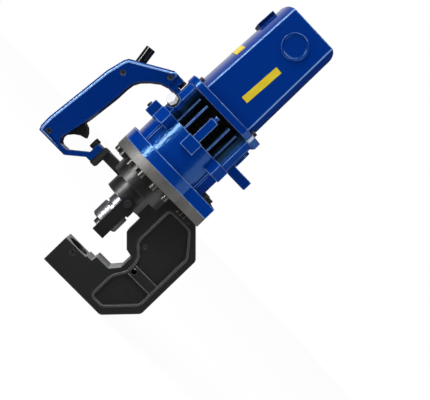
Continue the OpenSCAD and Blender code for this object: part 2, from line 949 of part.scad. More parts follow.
module pump_housing() {
    color(blue)
        difference() {
            union() {
                translate([0, 0, base_z])
                    linear_extrude(base_h)
                        flange_outline();
                translate([body_x, 0, drum_z - over])
                    cylinder(r = drum_r, h = drum_h + over);
                translate([0, 0, fin_z - boss_h]) {
                    each_post()
                        spoke(boss_w, cavity_r + over, boss_out, boss_h + boss_proud);
                    each_column()
                        spoke(boss_w, cavity_r + over, column_boss_out, boss_h + boss_proud);
                }
                translate([0, 0, drum_z - over])
                    each_column()
                        spoke(rib_w, cavity_r + over, rib_out, drum_h);
                translate([release_seat, release_y - release_w / 2, fin_z - release_h])
                    cube([body_x - cavity_r - release_seat + over, release_w, release_h - gap]);
                translate([0, 0, fin_z - over]) {
                    each_column()
                        spoke(column_w, fin_in - over, column_out, fin_h + over);
                    for (angle = [-90, 90])
                        round_body(angle)
                            spoke(side_column_w, fin_in - over, side_column_out, fin_h + over);
                    each_post()
                        spoke(post_w, post_in, post_out, fin_h - post_drop + over);
                    both_sides()
                        for (angle = fin_angles)
                            round_body(angle)
                                spoke(fin_t, fin_in - over, fin_out, fin_h - fin_gap_top + over);
                }
                at_filler()
                    translate([0, 0, fin_in - over])
                        cylinder(r = plug_boss_r, h = plug_boss_out - fin_in + over);
            }
            translate([0, 0, base_z - over])
                cylinder(r = barrel_r + fit, h = base_h + 2 * over);
            translate([body_x, 0, drum_z])
                cylinder(r = cavity_r, h = drum_h);
            translate([body_x, 0, fin_z - over])
                cylinder(r = fin_in, h = fin_h + 2 * over);
            translate([0, 0, base_z - over]) {
                each_flange_bolt()
                    cylinder(r = bolt_r, h = bolt_grip + over);
                each_lug_bolt()
                    cylinder(r = lug_bolt_r + fit, h = base_h + 2 * over);
            }
            each_post()
                translate([0, -post_bolt_circle, motor_flange_z - post_drop - post_bolt_l])
                    cylinder(r = post_bolt_r, h = post_bolt_l + over);
            each_corner_screw()
                translate([0, 0, motor_flange_z - corner_screw_l])
                    cylinder(r = corner_screw_r, h = corner_screw_l + over);
            at_filler()
                translate([0, 0, plug_boss_out - plug_l])
                    cylinder(r = plug_r, h = plug_l + over);
            translate([release_seat - over, release_y, fin_z - release_h / 2])
                along_x()
                    cylinder(r = release_screw_r + fit, h = release_l);
            translate([back_seat - foot_stud_l, 0, foot_z + foot_h / 2])
                along_x()
                    cylinder(r = foot_stud_r, h = foot_stud_l + over);
        }
}

module post_bolts() {
    color(blue)
        each_post()
            translate([0, -post_bolt_circle, motor_flange_z - post_drop]) {
                mirror([0, 0, 1])
                    cap_screw(post_bolt_r, post_bolt_l, post_bolt_head_r, post_bolt_head_h,
                        post_bolt_r / 2, post_bolt_r);
            }
}

// Pump

module pump_block() {
    color(machined)
        difference() {
            union() {
                translate([body_x, 0, pump_z])
                    cylinder(r = pump_r, h = pump_h);
                translate([0, 0, pump_z - spigot_h])
                    cylinder(r = bore_r - fit, h = spigot_h + over);
            }
            translate([eccentric_x, 0, pump_z + pit_floor])
                cylinder(r = pit_r, h = pump_h);
            translate([eccentric_x, 0, shaft_z])
                cylinder(r = shaft_r + bush_ring, h = pump_h);
            both_sides()
                translate([eccentric_x, 0, plunger_z])
                    along_near()
                        cylinder(r = plunger_r + fit, h = pump_r);
        }
}

module pump_plungers() {
    color(steel)
        both_sides()
            translate([eccentric_x, -plunger_tip, plunger_z])
                along_near()
                    cylinder(r = plunger_r, h = plunger_l);
}

module plunger_springs() {
    color(steel)
        both_sides()
            translate([eccentric_x, -plunger_tip - plunger_l, plunger_z])
                along_near()
                    coil(plunger_r - plunger_wire, plunger_bore_end - plunger_tip - plunger_l, plunger_turns,
                        plunger_wire);
}

module eccentric_shaft() {
    color(steel)
        translate([eccentric_x, 0, 0]) {
            translate([0, 0, shaft_z])
                cylinder(r = shaft_r, h = gear_z + gear_h + shaft_proud - shaft_z);
            translate([eccentric_throw, 0, eccentric_z])
                cylinder(r = eccentric_r + eccentric_throw / 2, h = eccentric_collar);
            translate([eccentric_throw, 0, eccentric_z])
                cylinder(r = eccentric_r, h = eccentric_h);
        }
}

module eccentric_bearing() {
    color(machined)
        translate([eccentric_x + eccentric_throw, 0, eccentric_z + eccentric_collar])
            tube(eccentric_r + eccentric_ring, eccentric_r, eccentric_h - eccentric_collar);
}

module shaft_bushes() {
    color("#b08a3c")
        for (z = [shaft_z, case_z])
            translate([eccentric_x, 0, z])
                tube(shaft_r + bush_ring, shaft_r + fit, bush_h);
}

module drive_gear() {
    color(steel)
        translate([eccentric_x, 0, gear_z])
            gear(gear_teeth, shaft_r, gear_h);
}

module oil_bladder() {
    color(black)
        translate([0, 0, bladder_z])
            difference() {
                translate([body_x, 0, 0])
                    cylinder(r = case_r, h = case_z - bladder_z - gap);
                translate([eccentric_x, 0, -over])
                    cylinder(r = shaft_r + bush_ring, h = case_z - bladder_z + 2 * over);
            }
}

module gear_case() {
    color(black)
        translate([0, 0, case_z])
            difference() {
                translate([body_x, 0, 0])
                    cylinder(r = case_r, h = motor_flange_z - case_z);
                translate([body_x, 0, case_floor])
                    cylinder(r = case_r - case_wall, h = motor_flange_z - case_z);
                translate([eccentric_x, 0, -over])
                    cylinder(r = shaft_r + bush_ring, h = case_floor + 2 * over);
            }
}

// Motor

module plate_outline() {
    corner = plate_half_x - plate_round;
    side = plate_half_y - plate_round;
    translate([plate_x, 0]) {
        translate([-corner, -plate_half_y])
            square([corner + plate_half_x - plate_chamfer_x, 2 * plate_half_y]);
        translate([-plate_half_x, -side])
            square([plate_round, 2 * side]);
        for (y = [-side, side])
            translate([-corner, y])
                circle(r = plate_round);
        polygon([[plate_half_x - plate_chamfer_x, -plate_half_y],
            [plate_half_x, plate_chamfer_y - plate_half_y], [plate_half_x, plate_half_y - plate_chamfer_y],
            [plate_half_x - plate_chamfer_x, plate_half_y]]);
    }
}

module each_corner_screw() {
    both_sides()
        for (x = [cover_x - corner_screw_x, cover_x + corner_screw_x])
            translate([x, -corner_screw_y, 0])
                children();
}

module motor_flange() {
    color(blue)
        translate([0, 0, motor_flange_z])
            difference() {
                linear_extrude(motor_flange_h)
                    plate_outline();
                translate([body_x, 0, bearing_floor])
                    cylinder(r = axle_r + bearing_ring, h = motor_flange_h);
                translate([body_x, 0, -over])
                    cylinder(r = axle_r + axle_gap, h = motor_flange_h);
                translate([0, 0, -over])
                    each_corner_screw()
                        cylinder(r = corner_screw_r + fit, h = motor_flange_h + 2 * over);
            }
}

module corner_screws() {
    color(black)
        translate([0, 0, cover_z])
            each_corner_screw()
                mirror([0, 0, 1])
                    cap_screw(corner_screw_r, motor_flange_h + corner_screw_l / 2, corner_screw_head_r,
                        corner_screw_head_h, corner_screw_r / 2, corner_screw_r);
}

// Radius of a face that bulges from the edge of a flat side to the full half width
function bulge_r(edge) = let (rise = cover_half - edge) (cover_y_half * cover_y_half + rise * rise) / rise / 2;

// Bulged, leaning front of the cover, moved in by a wall, as the round bar that it is a part of
module front_bulge(wall) {
    translate([cover_x - cover_half, 0, cover_z])
        rotate([0, front_lean, 0])
            translate([bulge_r(face_front), 0, -cover_h])
                cylinder(r = bulge_r(face_front) - wall, h = 3 * cover_h, $fn = 256);
}

module back_bulge(wall) {
    translate([cover_x + cover_half - bulge_r(face_back), 0, cover_z - cover_h])
        cylinder(r = bulge_r(face_back) - wall, h = 3 * cover_h, $fn = 256);
}

// Side view of the cover, with rounded top corners, shrunk by a wall and with its foot carried down
module cover_profile(wall, foot) {
    low = cover_x - cover_half + wall;
    high = cover_x + cover_half - wall;
    top = cover_top - wall;
    front = low + cover_lean * (cover_h - top_round) / cover_h + top_round - round_lap;
    translate([low, cover_z - foot])
        square([high - low, top - top_round - cover_z + foot]);
    translate([front, cover_z - foot])
        square([high - top_round - front, top - cover_z + foot]);
    for (x = [front, high - top_round])
        translate([x, top - top_round])
            circle(r = top_round);
}

// Body of the cover, shrunk by a wall and with its foot carried down
module cover_body(wall, foot) {
    intersection() {
        slab(2 * (cover_y_half - wall))
            cover_profile(wall, foot);
        front_bulge(wall);
        back_bulge(wall);
    }
}

module motor_cover() {
    color(blue)
        difference() {
            union() {
                difference() {
                    cover_body(0, 0);
                    cover_body(cover_wall, over);
                }
                translate([body_x, 0, cover_top - cover_wall - bearing_h - tail_gap])
                    tube(tail_r + tail_bearing_ring + tail_boss_wall, tail_r + tail_bearing_ring,
                        bearing_h + tail_gap + over);
            }
            both_sides()
                translate([cap_x, 0, cap_z])
                    along_near()
                        cylinder(r = cap_plug_r + fit, h = cover_y_half + over);
        }
}

module stator() {
    color(machined)
        translate([body_x, 0, cover_z + core_lift])
            tube(stator_r, core_r + air_gap, core_h);
}

module armature_shaft() {
    color(steel)
        translate([body_x, 0, 0]) {
            translate([0, 0, gear_z - nose_proud])
                cylinder(r = nose_r, h = motor_flange_z - gear_z + 2 * nose_proud);
            translate([0, 0, motor_flange_z])
                cylinder(r = axle_r, h = cap_z + commutator_h / 2 - motor_flange_z);
            translate([0, 0, cap_z])
                cylinder(r = tail_r, h = cover_top - cover_wall - tail_gap - cap_z);
        }
}

module armature_core() {
    color(machined)
        translate([body_x, 0, cover_z + core_lift])
            tube(core_r, axle_r, core_h);
}

module commutator() {
    color("#b56a3a")
        translate([body_x, 0, cap_z - commutator_h / 2])
            tube(commutator_r, axle_r, commutator_h);
}

module armature_pinion() {
    color(steel)
        translate([body_x, 0, gear_z])
            gear(pinion_teeth, nose_r, gear_h);
}

module motor_fan() {
    color(black)
        translate([body_x, 0, cover_z + fan_lift]) {
            tube(axle_r + fan_hub, axle_r, fan_h);
            tube(fan_r, axle_r + fan_hub - over, fan_disc);
            for (i = [0 : fan_blades - 1])
                rotate([0, 0, 360 * i / fan_blades])
                    translate([axle_r + fan_hub - over, -fan_blade_t / 2, 0])
                        cube([fan_r - axle_r - fan_hub, fan_blade_t, fan_h]);
        }
}

module lower_bearing() {
    color(steel)
        translate([body_x, 0, motor_flange_z + bearing_floor])
            tube(axle_r + bearing_ring, axle_r + fit, bearing_h);
}

module upper_bearing() {
    color(steel)
        translate([body_x, 0, cover_top - cover_wall - bearing_h])
            tube(tail_r + tail_bearing_ring, tail_r + fit, bearing_h - tail_gap);
}

module brushes() {
    color(black)
        both_sides()
            translate([body_x - brush_half, -commutator_r - fit - brush_l, cap_z - brush_half])
                cube([2 * brush_half, brush_l, 2 * brush_half]);
}

module brush_holders() {
    color("#b08a3c")
        both_sides()
            translate([body_x, 0, cap_z])
                difference() {
                    translate([0, -commutator_r - brush_l / 3, 0])
                        along_near()
                            cylinder(r = holder_r, h = cover_y_half - cover_wall - commutator_r - brush_l / 3);
                    translate([-brush_half, -commutator_r - fit - brush_l, -brush_half])
                        cube([2 * brush_half, brush_l, 2 * brush_half]);
                }
}

module side_caps() {
    color(blue)
        both_sides()
            translate([cap_x, -cover_y_half, cap_z])
                along_near() {
                    translate([0, 0, -cover_wall])
                        cylinder(r = cap_plug_r, h = cover_wall);
                    difference() {
                        cylinder(r = cap_r, h = cap_proud);
                        translate([0, 0, cap_proud - cap_dish])
                            cylinder(r = cap_r - cap_rim, h = cap_proud);
                    }
                }
}

// Places a flat piece on the leaning front of the cover, at a drop below its top
module on_cover_front(drop) {
    translate([cover_x - cover_half, 0, cover_z])
        rotate([0, front_lean, 0])
            translate([0, 0, cover_h - drop])
                children();
}

module front_vent() {
    color(blue)
        difference() {
            on_cover_front(vent_drop)
                translate([-vent_t, -vent_w / 2, 0])
                    difference() {
                        cube([vent_t + vent_root, vent_w, vent_h]);
                        for (i = [1 : vent_slots])
                            translate([-over, vent_slot_h, i * vent_h / (vent_slots + 1) - vent_slot_h / 2])
                                cube([vent_slot_deep + over, vent_w - 2 * vent_slot_h, vent_slot_h]);
                    }
            front_bulge(-fit);
        }
}

module side_sticker() {
    color("gold")
        translate([cover_x + side_sticker_x, -cover_y_half, cover_top - side_sticker_drop])
            rotate([0, side_sticker_tilt, 0])
                translate([-side_sticker_w / 2, -sticker_t, -side_sticker_h / 2])
                    cube([side_sticker_w, sticker_t, side_sticker_h]);
}

module front_sticker() {
    color("gold")
        intersection() {
            difference() {
                front_bulge(-fit - sticker_t);
                front_bulge(-fit);
            }
            on_cover_front(front_sticker_drop)
                translate([-cover_half, front_sticker_y, 0])
                    cube([2 * cover_half, front_sticker_w, front_sticker_h]);
        }
}

module stickers() {
    side_sticker();
    front_sticker();
}

// Handle

module handle_blank() {
    slab(handle_w)
        on_handle_outline(outline_shares);
}

module handle_cavity() {
    slab(handle_w - 2 * handle_wall)
        on_handle_outline(cavity_shares);
    slab(trigger_w + 2 * trigger_side)
        on_handle_outline(slot_shares);
}

module guard_axis() {
    at_handle(guard_shares)
        rotate([0, -guard_lean, 0])
            children();
}

module handle_bores() {
    for (share = screw_shares)
        at_handle(share) {
            translate([0, handle_w / 2 - handle_screw_end, 0])
                along_near()
                    cylinder(r = handle_screw_r, h = handle_w);
            translate([0, -handle_w / 2 + handle_screw_head_h, 0])
                along_near()
                    cylinder(r = handle_screw_head_r + fit, h = handle_w);
        }
    at_handle(pivot_shares)
        translate([0, handle_w / 2 - pivot_boss, 0])
            along_near()
                cylinder(r = pivot_r, h = handle_w - 2 * pivot_boss);
    guard_axis()
        translate([0, 0, -guard_sink])
            cylinder(r = guard_r, h = guard_l);
    translate([tab_front - over, 0, handle_bolt_z])
        along_x()
            cylinder(r = handle_bolt_r + fit, h = handle_x - tab_front + 2 * over);
    translate([handle_x + over, 0, bracket_bolt_z()])
        rotate([0, -90, 0])
            cylinder(r = bracket_bolt_r, h = bracket_bolt_l - bracket_gap + over);
}

module handle_half(side) {
    difference() {
        handle_blank();
        translate([handle_x - 2 * handle_l, side < 0 ? 0 : -handle_w, handle_z - over])
            cube([3 * handle_l, handle_w, handle_h + 2 * over]);
        handle_cavity();
        handle_bores();
    }
}

module handle_near_half() {
    color(blue)
        handle_half(-1);
}

module handle_far_half() {
    color(blue)
        handle_half(1);
}

module handle_screws() {
    color(black)
        for (share = screw_shares)
            at_handle(share)
                translate([0, -handle_w / 2 + handle_screw_head_h, 0])
                    rotate([-90, 0, 0])
                        cap_screw(handle_screw_r, handle_w - handle_screw_head_h - handle_screw_end,
                            handle_screw_head_r, handle_screw_head_h - set_screw_sink, handle_screw_r,
                            handle_screw_head_h / 2);
}

module trigger() {
    color(black)
        difference() {
            slab(trigger_w)
                on_handle_outline(trigger_shares);
            at_handle(pivot_shares)
                translate([0, handle_w / 2, 0])
                    along_near()
                        cylinder(r = pivot_r + fit, h = handle_w);
        }
}

module trigger_pin() {
    color(steel)
        at_handle(pivot_shares)
            translate([0, handle_w / 2 - pivot_boss, 0])
                along_near()
                    cylinder(r = pivot_r, h = handle_w - 2 * pivot_boss);
}

module trigger_spring() {
    color(steel)
        at_handle([switch_front_share, trigger_spring_share])
            along_x()
                coil(trigger_spring_r, (switch_front_share - trigger_back_share) * handle_l - gap,
                    trigger_turns, trigger_wire);
}

module switch_body() {
    color(black)
        slab(switch_w)
            on_handle_outline(switch_shares);
}

module cord_guard() {
    color(black)
        guard_axis()
            difference() {
                translate([0, 0, -guard_sink])
                    cylinder(r = guard_r, h = guard_l);
                translate([0, 0, -guard_sink - over])
                    cylinder(r = guard_bore_r, h = guard_l + 2 * over);
            }
}

// Handle brackets

function bracket_bolt_z() = handle_z + bracket_top_share * handle_h - bracket_bolt_drop;

module upper_bracket() {
    low = min(handle_z + bracket_low_share * handle_h, bracket_foot_top - bracket_foot_h);
    high = max(handle_z + handle_h, bracket_foot_top);
    color(blue)
        difference() {
            union() {
                translate([handle_x, -bracket_w / 2, low])
                    cube([bracket_gap, bracket_w, high - low]);
                translate([handle_x, -side_column_w / 2, bracket_foot_top - bracket_foot_h])
                    cube([body_x - side_column_out - handle_x, side_column_w, bracket_foot_h]);
            }
            translate([handle_x - over, 0, bracket_bolt_z()])
                along_x()
                    cylinder(r = bracket_bolt_r + fit, h = bracket_gap + 2 * over);
        }
}

module bracket_bolt() {
    color(black)
        translate([handle_x + bracket_gap, 0, bracket_bolt_z()]) {
            rotate([0, -90, 0])
                cylinder(r = bracket_bolt_r, h = bracket_bolt_l);
            along_x()
                hexagon(bracket_bolt_head_r, bracket_bolt_head_h);
        }
}

module handle_pad() {
    color(black)
        difference() {
            translate([handle_x, -pad_w / 2, pad_top - pad_h])
                cube([arm_tip - handle_x, pad_w, pad_h]);
            translate([handle_x - over, 0, handle_bolt_z])
                along_x()
                    cylinder(r = handle_bolt_r + fit, h = arm_tip - handle_x + 2 * over);
        }
}

module handle_bolt() {
    color(black)
        translate([tab_front, 0, handle_bolt_z]) {
            along_x()
                cylinder(r = handle_bolt_r, h = arm_tip - tab_front + handle_bolt_l);
            translate([-handle_bolt_head_h, 0, 0])
                along_x()
                    hexagon(handle_bolt_head_r, handle_bolt_head_h);
        }
}

// Plugs, valve and rear pieces

module filler_plug() {
    color(steel)
        at_filler() {
            translate([0, 0, plug_boss_out - plug_l])
                cylinder(r = plug_r, h = plug_l + washer_h);
            translate([0, 0, plug_boss_out + washer_h])
                hexagon(plug_head_r, plug_head_h);
        }
}

module filler_washer() {
    color("#b08a3c")
        at_filler()
            translate([0, 0, plug_boss_out])
                tube(washer_r, plug_r + fit, washer_h);
}

module release_block() {
    color(blue)
        difference() {
            translate([release_x, release_y - release_w / 2, fin_z - release_h])
                cube([release_seat - release_x, release_w, release_h]);
            translate([release_x - over, release_y, fin_z - release_h / 2])
                along_x()
                    cylinder(r = release_screw_r + fit, h = release_seat - release_x + 2 * over);
        }
}

module release_screw() {
    color(black)
        translate([release_x - gap, release_y, fin_z - release_h / 2])
            difference() {
                union() {
                    along_x()
                        cylinder(r = release_screw_r, h = release_seat - release_x + release_l / 2);
                    translate([-release_head_h, 0, 0])
                        along_x()
                            cylinder(r = release_head_r, h = release_head_h);
                }
                translate([-release_head_h - over, -release_slot / 2, -release_head_r])
                    cube([over + release_head_h / 2, release_slot, 2 * release_head_r]);
            }
}

module rest_foot() {
    color(blue) {
        translate([back_seat, -foot_w / 2, foot_z])
            cube([foot_l, foot_w, foot_h]);
        translate([back_seat - foot_stud_l, 0, foot_z + foot_h / 2])
            along_x()
                cylinder(r = foot_stud_r, h = foot_stud_l + over);
    }
}

module rear_plate() {
    color(blue)
        translate([back_seat, 0, rear_z])
            along_x()
                linear_extrude(rear_t) {
                    translate([-rear_h + rear_w / 2, 0])
                        circle(d = rear_w);
                    translate([-rear_h + rear_w / 2, -rear_w / 2])
                        square([rear_h - rear_w / 2, rear_w]);
                }
}

c_frame();
frame_head();
stripper_bars();
stripper_screws();
set_screws();
ram();
ram_piston();
piston_seal();
rod_bush();
rod_seal();
return_spring();
punch_nut();
punch();
flange_bolts();
lug_bolts();
pump_housing();
post_bolts();
pump_block();
pump_plungers();
plunger_springs();
eccentric_shaft();
eccentric_bearing();
shaft_bushes();
drive_gear();
oil_bladder();
gear_case();
motor_flange();
corner_screws();
motor_cover();
stator();
armature_shaft();
armature_core();
commutator();
armature_pinion();
motor_fan();
lower_bearing();
upper_bearing();
brushes();
brush_holders();
side_caps();
front_vent();
stickers();
handle_near_half();
handle_far_half();
handle_screws();
trigger();
trigger_pin();
trigger_spring();
switch_body();
cord_guard();
upper_bracket();
bracket_bolt();
handle_pad();
handle_bolt();
filler_plug();
filler_washer();
release_block();
release_screw();
rest_foot();
rear_plate();
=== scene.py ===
# %% [markdown]
# # A hydraulic hole punch, dressed
# The punch has a black cast C-frame, a blue pump housing with cooling fins, a blue motor cover and a blue handle.
# Its solids come from CAD with every joint in place, so this lesson adds only what CAD leaves out: smooth shading,
# rounded edges, wound springs, cast beads, paint, bare metal, rubber and light.

# %% Load the solids
import json
import math

import bmesh
import bpy
import numpy as np
from mathutils import Matrix


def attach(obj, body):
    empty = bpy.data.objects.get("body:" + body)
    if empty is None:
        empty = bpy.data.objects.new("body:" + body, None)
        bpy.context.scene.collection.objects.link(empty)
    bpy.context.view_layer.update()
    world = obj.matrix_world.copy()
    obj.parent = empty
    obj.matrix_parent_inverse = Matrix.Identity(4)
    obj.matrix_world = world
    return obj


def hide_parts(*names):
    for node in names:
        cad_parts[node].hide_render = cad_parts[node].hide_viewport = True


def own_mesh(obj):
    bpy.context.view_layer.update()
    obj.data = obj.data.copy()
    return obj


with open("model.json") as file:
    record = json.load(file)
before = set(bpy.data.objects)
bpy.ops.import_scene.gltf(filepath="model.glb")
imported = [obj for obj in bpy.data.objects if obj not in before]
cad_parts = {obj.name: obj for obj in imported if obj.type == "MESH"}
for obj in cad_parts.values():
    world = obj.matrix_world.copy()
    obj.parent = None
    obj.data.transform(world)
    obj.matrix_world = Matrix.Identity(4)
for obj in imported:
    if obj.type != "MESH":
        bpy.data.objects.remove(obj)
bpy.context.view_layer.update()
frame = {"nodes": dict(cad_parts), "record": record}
slot_of = {row["node"]: row["material_slot"] for row in frame["record"]["subparts"]}
body_of = {node: body for body, nodes in frame["record"]["behaviour"]["bodies"].items() for node in nodes}
MM = 0.001

# %% [markdown]
# ## The camera
# The photographer rolled the punch so that the motor points up and to the right. A camera can be turned with Euler
# angles, but a roll is easier to read when the three axes of the camera are worked out and written into its matrix.

# %% Aim the camera
CAMERA_PLACE = [-0.0017, -0.8928, 0.1962]
CAMERA_AZIMUTH, CAMERA_ELEVATION, CAMERA_ROLL = 4.64, -0.75, 46.05
SENSOR_WIDTH, LENS = 36, 64.85


def camera_matrix(place, azimuth, elevation, roll):
    """look runs from the camera to the punch, side is look crossed with up, and top is side crossed with look.
    The roll turns side and top about look, and the columns are right, up and the reverse of look."""
    a, e, r = np.radians([azimuth, elevation, roll])
    look = np.array([np.sin(a) * np.cos(e), np.cos(a) * np.cos(e), np.sin(e)])
    side = np.cross(look, [0, 0, 1])
    side /= np.linalg.norm(side)
    top = np.cross(side, look)
    right = np.cos(r) * side + np.sin(r) * top
    up = -np.sin(r) * side + np.cos(r) * top
    matrix = np.eye(4)
    matrix[:3, :] = np.column_stack([right, up, -look, place])
    return Matrix(matrix.tolist())


camera = bpy.data.objects.new("camera", bpy.data.cameras.new("camera"))
bpy.context.scene.collection.objects.link(camera)
camera.matrix_world = camera_matrix(CAMERA_PLACE, CAMERA_AZIMUTH, CAMERA_ELEVATION, CAMERA_ROLL)
camera.data.sensor_width = SENSOR_WIDTH
camera.data.lens = LENS
bpy.context.scene.camera = camera
print("camera lens:", camera.data.lens)

# %% [markdown]
# ## Small tools for finishes
# A finish is a tree of shader nodes. Wiring it by hand in the editor is fine for one finish, but here are twenty, so
# one function adds a node with its settings and wires, and another starts a node group. A group is used wherever an
# effect, such as the skin of paint or the grain of a casting, appears in more than one finish.

# %% Add nodes and groups
def add(tree, kind, inputs=None, **settings):
    """One node: settings are its own fields, and each input takes a plain value or the socket to wire to it."""
    node = tree.nodes.new(kind)
    for key, value in settings.items():
        setattr(node, key, value)
    for key, value in (inputs or {}).items():
        if isinstance(value, bpy.types.NodeSocket):
            tree.links.new(value, node.inputs[key])
        else:
            node.inputs[key].default_value = value
    return node


def maths(tree, operation, a, b=0.0, c=0.0):
    """The output socket of one Math node."""
    return add(tree, "ShaderNodeMath", {0: a, 1: b, 2: c}, operation=operation).outputs[0]


def between(tree, value, low, high, to_low=0.0, to_high=1.0):
    """Value stretched from low..high to to_low..to_high and held at both ends."""
    return add(tree, "ShaderNodeMapRange", {"Value": value, "From Min": low, "From Max": high, "To Min": to_low,
                                            "To Max": to_high}).outputs["Result"]


def blended(tree, share, first, second):
    """First colour where share is 0 and second colour where it is 1."""
    return add(tree, "ShaderNodeMix", {0: share, 6: first, 7: second}, data_type="RGBA").outputs[2]


def xyz(tree, vector):
    """The three parts of a vector, as sockets."""
    return add(tree, "ShaderNodeSeparateXYZ", {0: vector}).outputs


def object_place(tree):
    """Where a point lies on its object, as a vector socket."""
    return add(tree, "ShaderNodeTexCoord").outputs["Object"]


def off_axis(tree, x, other, centre):
    """Distance of the point x, other from centre in their plane, and so from the line square to it."""
    flat = add(tree, "ShaderNodeCombineXYZ", {"X": x, "Y": other}).outputs[0]
    return add(tree, "ShaderNodeVectorMath", {0: flat, 1: (*centre, 0.0)}, operation="DISTANCE").outputs["Value"]


def within(tree, value, low, high):
    """1 where value lies between low and high, and 0 elsewhere."""
    return maths(tree, "MULTIPLY", maths(tree, "GREATER_THAN", value, low), maths(tree, "LESS_THAN", value, high))


def new_group(name, takes, gives):
    """A node group with number inputs and the outputs named in gives."""
    group = bpy.data.node_groups.new(name, "ShaderNodeTree")
    for label, value in takes.items():
        group.interface.new_socket(label, in_out="INPUT", socket_type="NodeSocketFloat").default_value = value
    for label, kind in gives.items():
        group.interface.new_socket(label, in_out="OUTPUT", socket_type=kind)
    return group, group.nodes.new("NodeGroupInput"), group.nodes.new("NodeGroupOutput")


def srgb(red, green, blue):
    """A colour read from a screen, 0 to 255, as the linear colour that a shader works with."""
    c = np.array([red, green, blue]) / 255
    linear = np.where(c <= 0.04045, c / 12.92, ((c + 0.055) / 1.055) ** 2.4)
    return (*linear.tolist(), 1.0)


print("node tools ready")

# %% [markdown]
# ## Paint skin
# Sprayed enamel never dries quite flat: it keeps a faint swell about a millimetre across, called orange peel, which
# makes reflections waver. A modelled surface would need millions of faces, so noise in the bump gives it instead.

# %% Group: paint skin
paint_skin, skin_in, skin_out = new_group("paint_skin", {"Scale": 700.0}, {"Height": "NodeSocketFloat"})
skin_place = object_place(paint_skin)
skin_noise = add(paint_skin, "ShaderNodeTexNoise", {"Vector": skin_place, "Scale": skin_in.outputs["Scale"],
                                                    "Detail": 1.5, "Roughness": 0.4})
paint_skin.links.new(skin_noise.outputs["Fac"], skin_out.inputs["Height"])
print("group:", paint_skin.name)

# %% [markdown]
# ## Soft and worn edges
# No cast or moulded edge is sharp, and paint is thin on it, so an edge catches light and wears first. The Bevel node
# looks round each point and gives a normal that rolls over the edge. To find the outer edges alone, the Ambient
# Occlusion node looks into the solid: near an outer edge its rays soon leave the solid through the next face. Noise
# breaks the edge up, so that the wear isn't an even line.

# %% Group: soft edges
soft_edges, edge_in, edge_out = new_group("soft_edges", {"Radius": 0.0008, "Reach": 0.0016, "Patches": 160.0},
                                          {"Normal": "NodeSocketVector", "Edge": "NodeSocketFloat"})
rolled = add(soft_edges, "ShaderNodeBevel", {"Radius": edge_in.outputs["Radius"]}, samples=6).outputs["Normal"]
solid = add(soft_edges, "ShaderNodeAmbientOcclusion", {"Distance": edge_in.outputs["Reach"]}, samples=8, inside=True,
            only_local=True).outputs["AO"]
outer = between(soft_edges, solid, 0.86, 0.58)
edge_place = object_place(soft_edges)
edge_noise = add(soft_edges, "ShaderNodeTexNoise", {"Vector": edge_place, "Scale": edge_in.outputs["Patches"],
                                                    "Detail": 4.0, "Roughness": 0.6}).outputs["Fac"]
edge_patch = between(soft_edges, edge_noise, 0.3, 0.55, 0.35, 1.0)
soft_edges.links.new(rolled, edge_out.inputs["Normal"])
soft_edges.links.new(maths(soft_edges, "MULTIPLY", outer, edge_patch), edge_out.inputs["Edge"])
print("group:", soft_edges.name)

# %% [markdown]
# ## Cast grain
# The C-frame is cast in sand and painted over, so its skin is pebbled. Two noises, one fine and one coarse, are added
# up: the fine one is the sand, the coarse one the unevenness of the mould.

# %% Group: cast grain
cast_grain, grain_in, grain_out = new_group("cast_grain", {"Scale": 900.0},
                                            {"Height": "NodeSocketFloat", "Tone": "NodeSocketFloat"})
grain_place = object_place(cast_grain)
sand = add(cast_grain, "ShaderNodeTexNoise", {"Vector": grain_place, "Scale": grain_in.outputs["Scale"], "Detail": 3.0,
                                              "Roughness": 0.62}).outputs["Fac"]
mould = add(cast_grain, "ShaderNodeTexNoise", {"Vector": grain_place, "Scale": 70.0, "Detail": 3.0}).outputs["Fac"]
cast_grain.links.new(maths(cast_grain, "MULTIPLY_ADD", mould, 0.5, sand), grain_out.inputs["Height"])
cast_grain.links.new(between(cast_grain, sand, 0.3, 0.7), grain_out.inputs["Tone"])
print("group:", cast_grain.name)

# %% [markdown]
# ## Turned lines
# Metal from a lathe keeps rings from the cutter. The rings depend on the distance from the axis and on the height, so
# noise is read at those two numbers only: it can't change round the axis, and so it comes out as rings.

# %% Group: turned lines
turned_lines, turned_in, turned_out = new_group("turned_lines", {"Axis X": 0.0, "Axis Y": 0.0, "Scale": 2600.0},
                                                {"Height": "NodeSocketFloat"})
turned_place = object_place(turned_lines)
turned_xyz = xyz(turned_lines, turned_place)
turned_x = maths(turned_lines, "SUBTRACT", turned_xyz[0], turned_in.outputs["Axis X"])
turned_y = maths(turned_lines, "SUBTRACT", turned_xyz[1], turned_in.outputs["Axis Y"])
turned_r = maths(turned_lines, "SQRT", maths(turned_lines, "ADD", maths(turned_lines, "MULTIPLY", turned_x, turned_x),
                                             maths(turned_lines, "MULTIPLY", turned_y, turned_y)))
rings_at = add(turned_lines, "ShaderNodeCombineXYZ", {"X": turned_r, "Y": turned_xyz[2]}).outputs[0]
rings = add(turned_lines, "ShaderNodeTexNoise", {"Vector": rings_at, "Scale": turned_in.outputs["Scale"],
                                                 "Detail": 2.0}, noise_dimensions="2D").outputs["Fac"]
turned_lines.links.new(rings, turned_out.inputs["Height"])
print("group:", turned_lines.name)

# %% [markdown]
# ## Smudges
# Handling leaves patches that are a little duller or shinier than the rest. A slow noise gives them, and each finish
# turns it into a small change of roughness or tone.

# %% Group: smudges
smudges, smudge_in, smudge_out = new_group("smudges", {"Scale": 28.0}, {"Value": "NodeSocketFloat"})
smudge_place = object_place(smudges)
smudge_noise = add(smudges, "ShaderNodeTexNoise", {"Vector": smudge_place, "Scale": smudge_in.outputs["Scale"],
                                                   "Detail": 5.0, "Roughness": 0.58, "Distortion": 0.4}).outputs["Fac"]
smudges.links.new(between(smudges, smudge_noise, 0.32, 0.7), smudge_out.inputs["Value"])
print("group:", smudges.name)

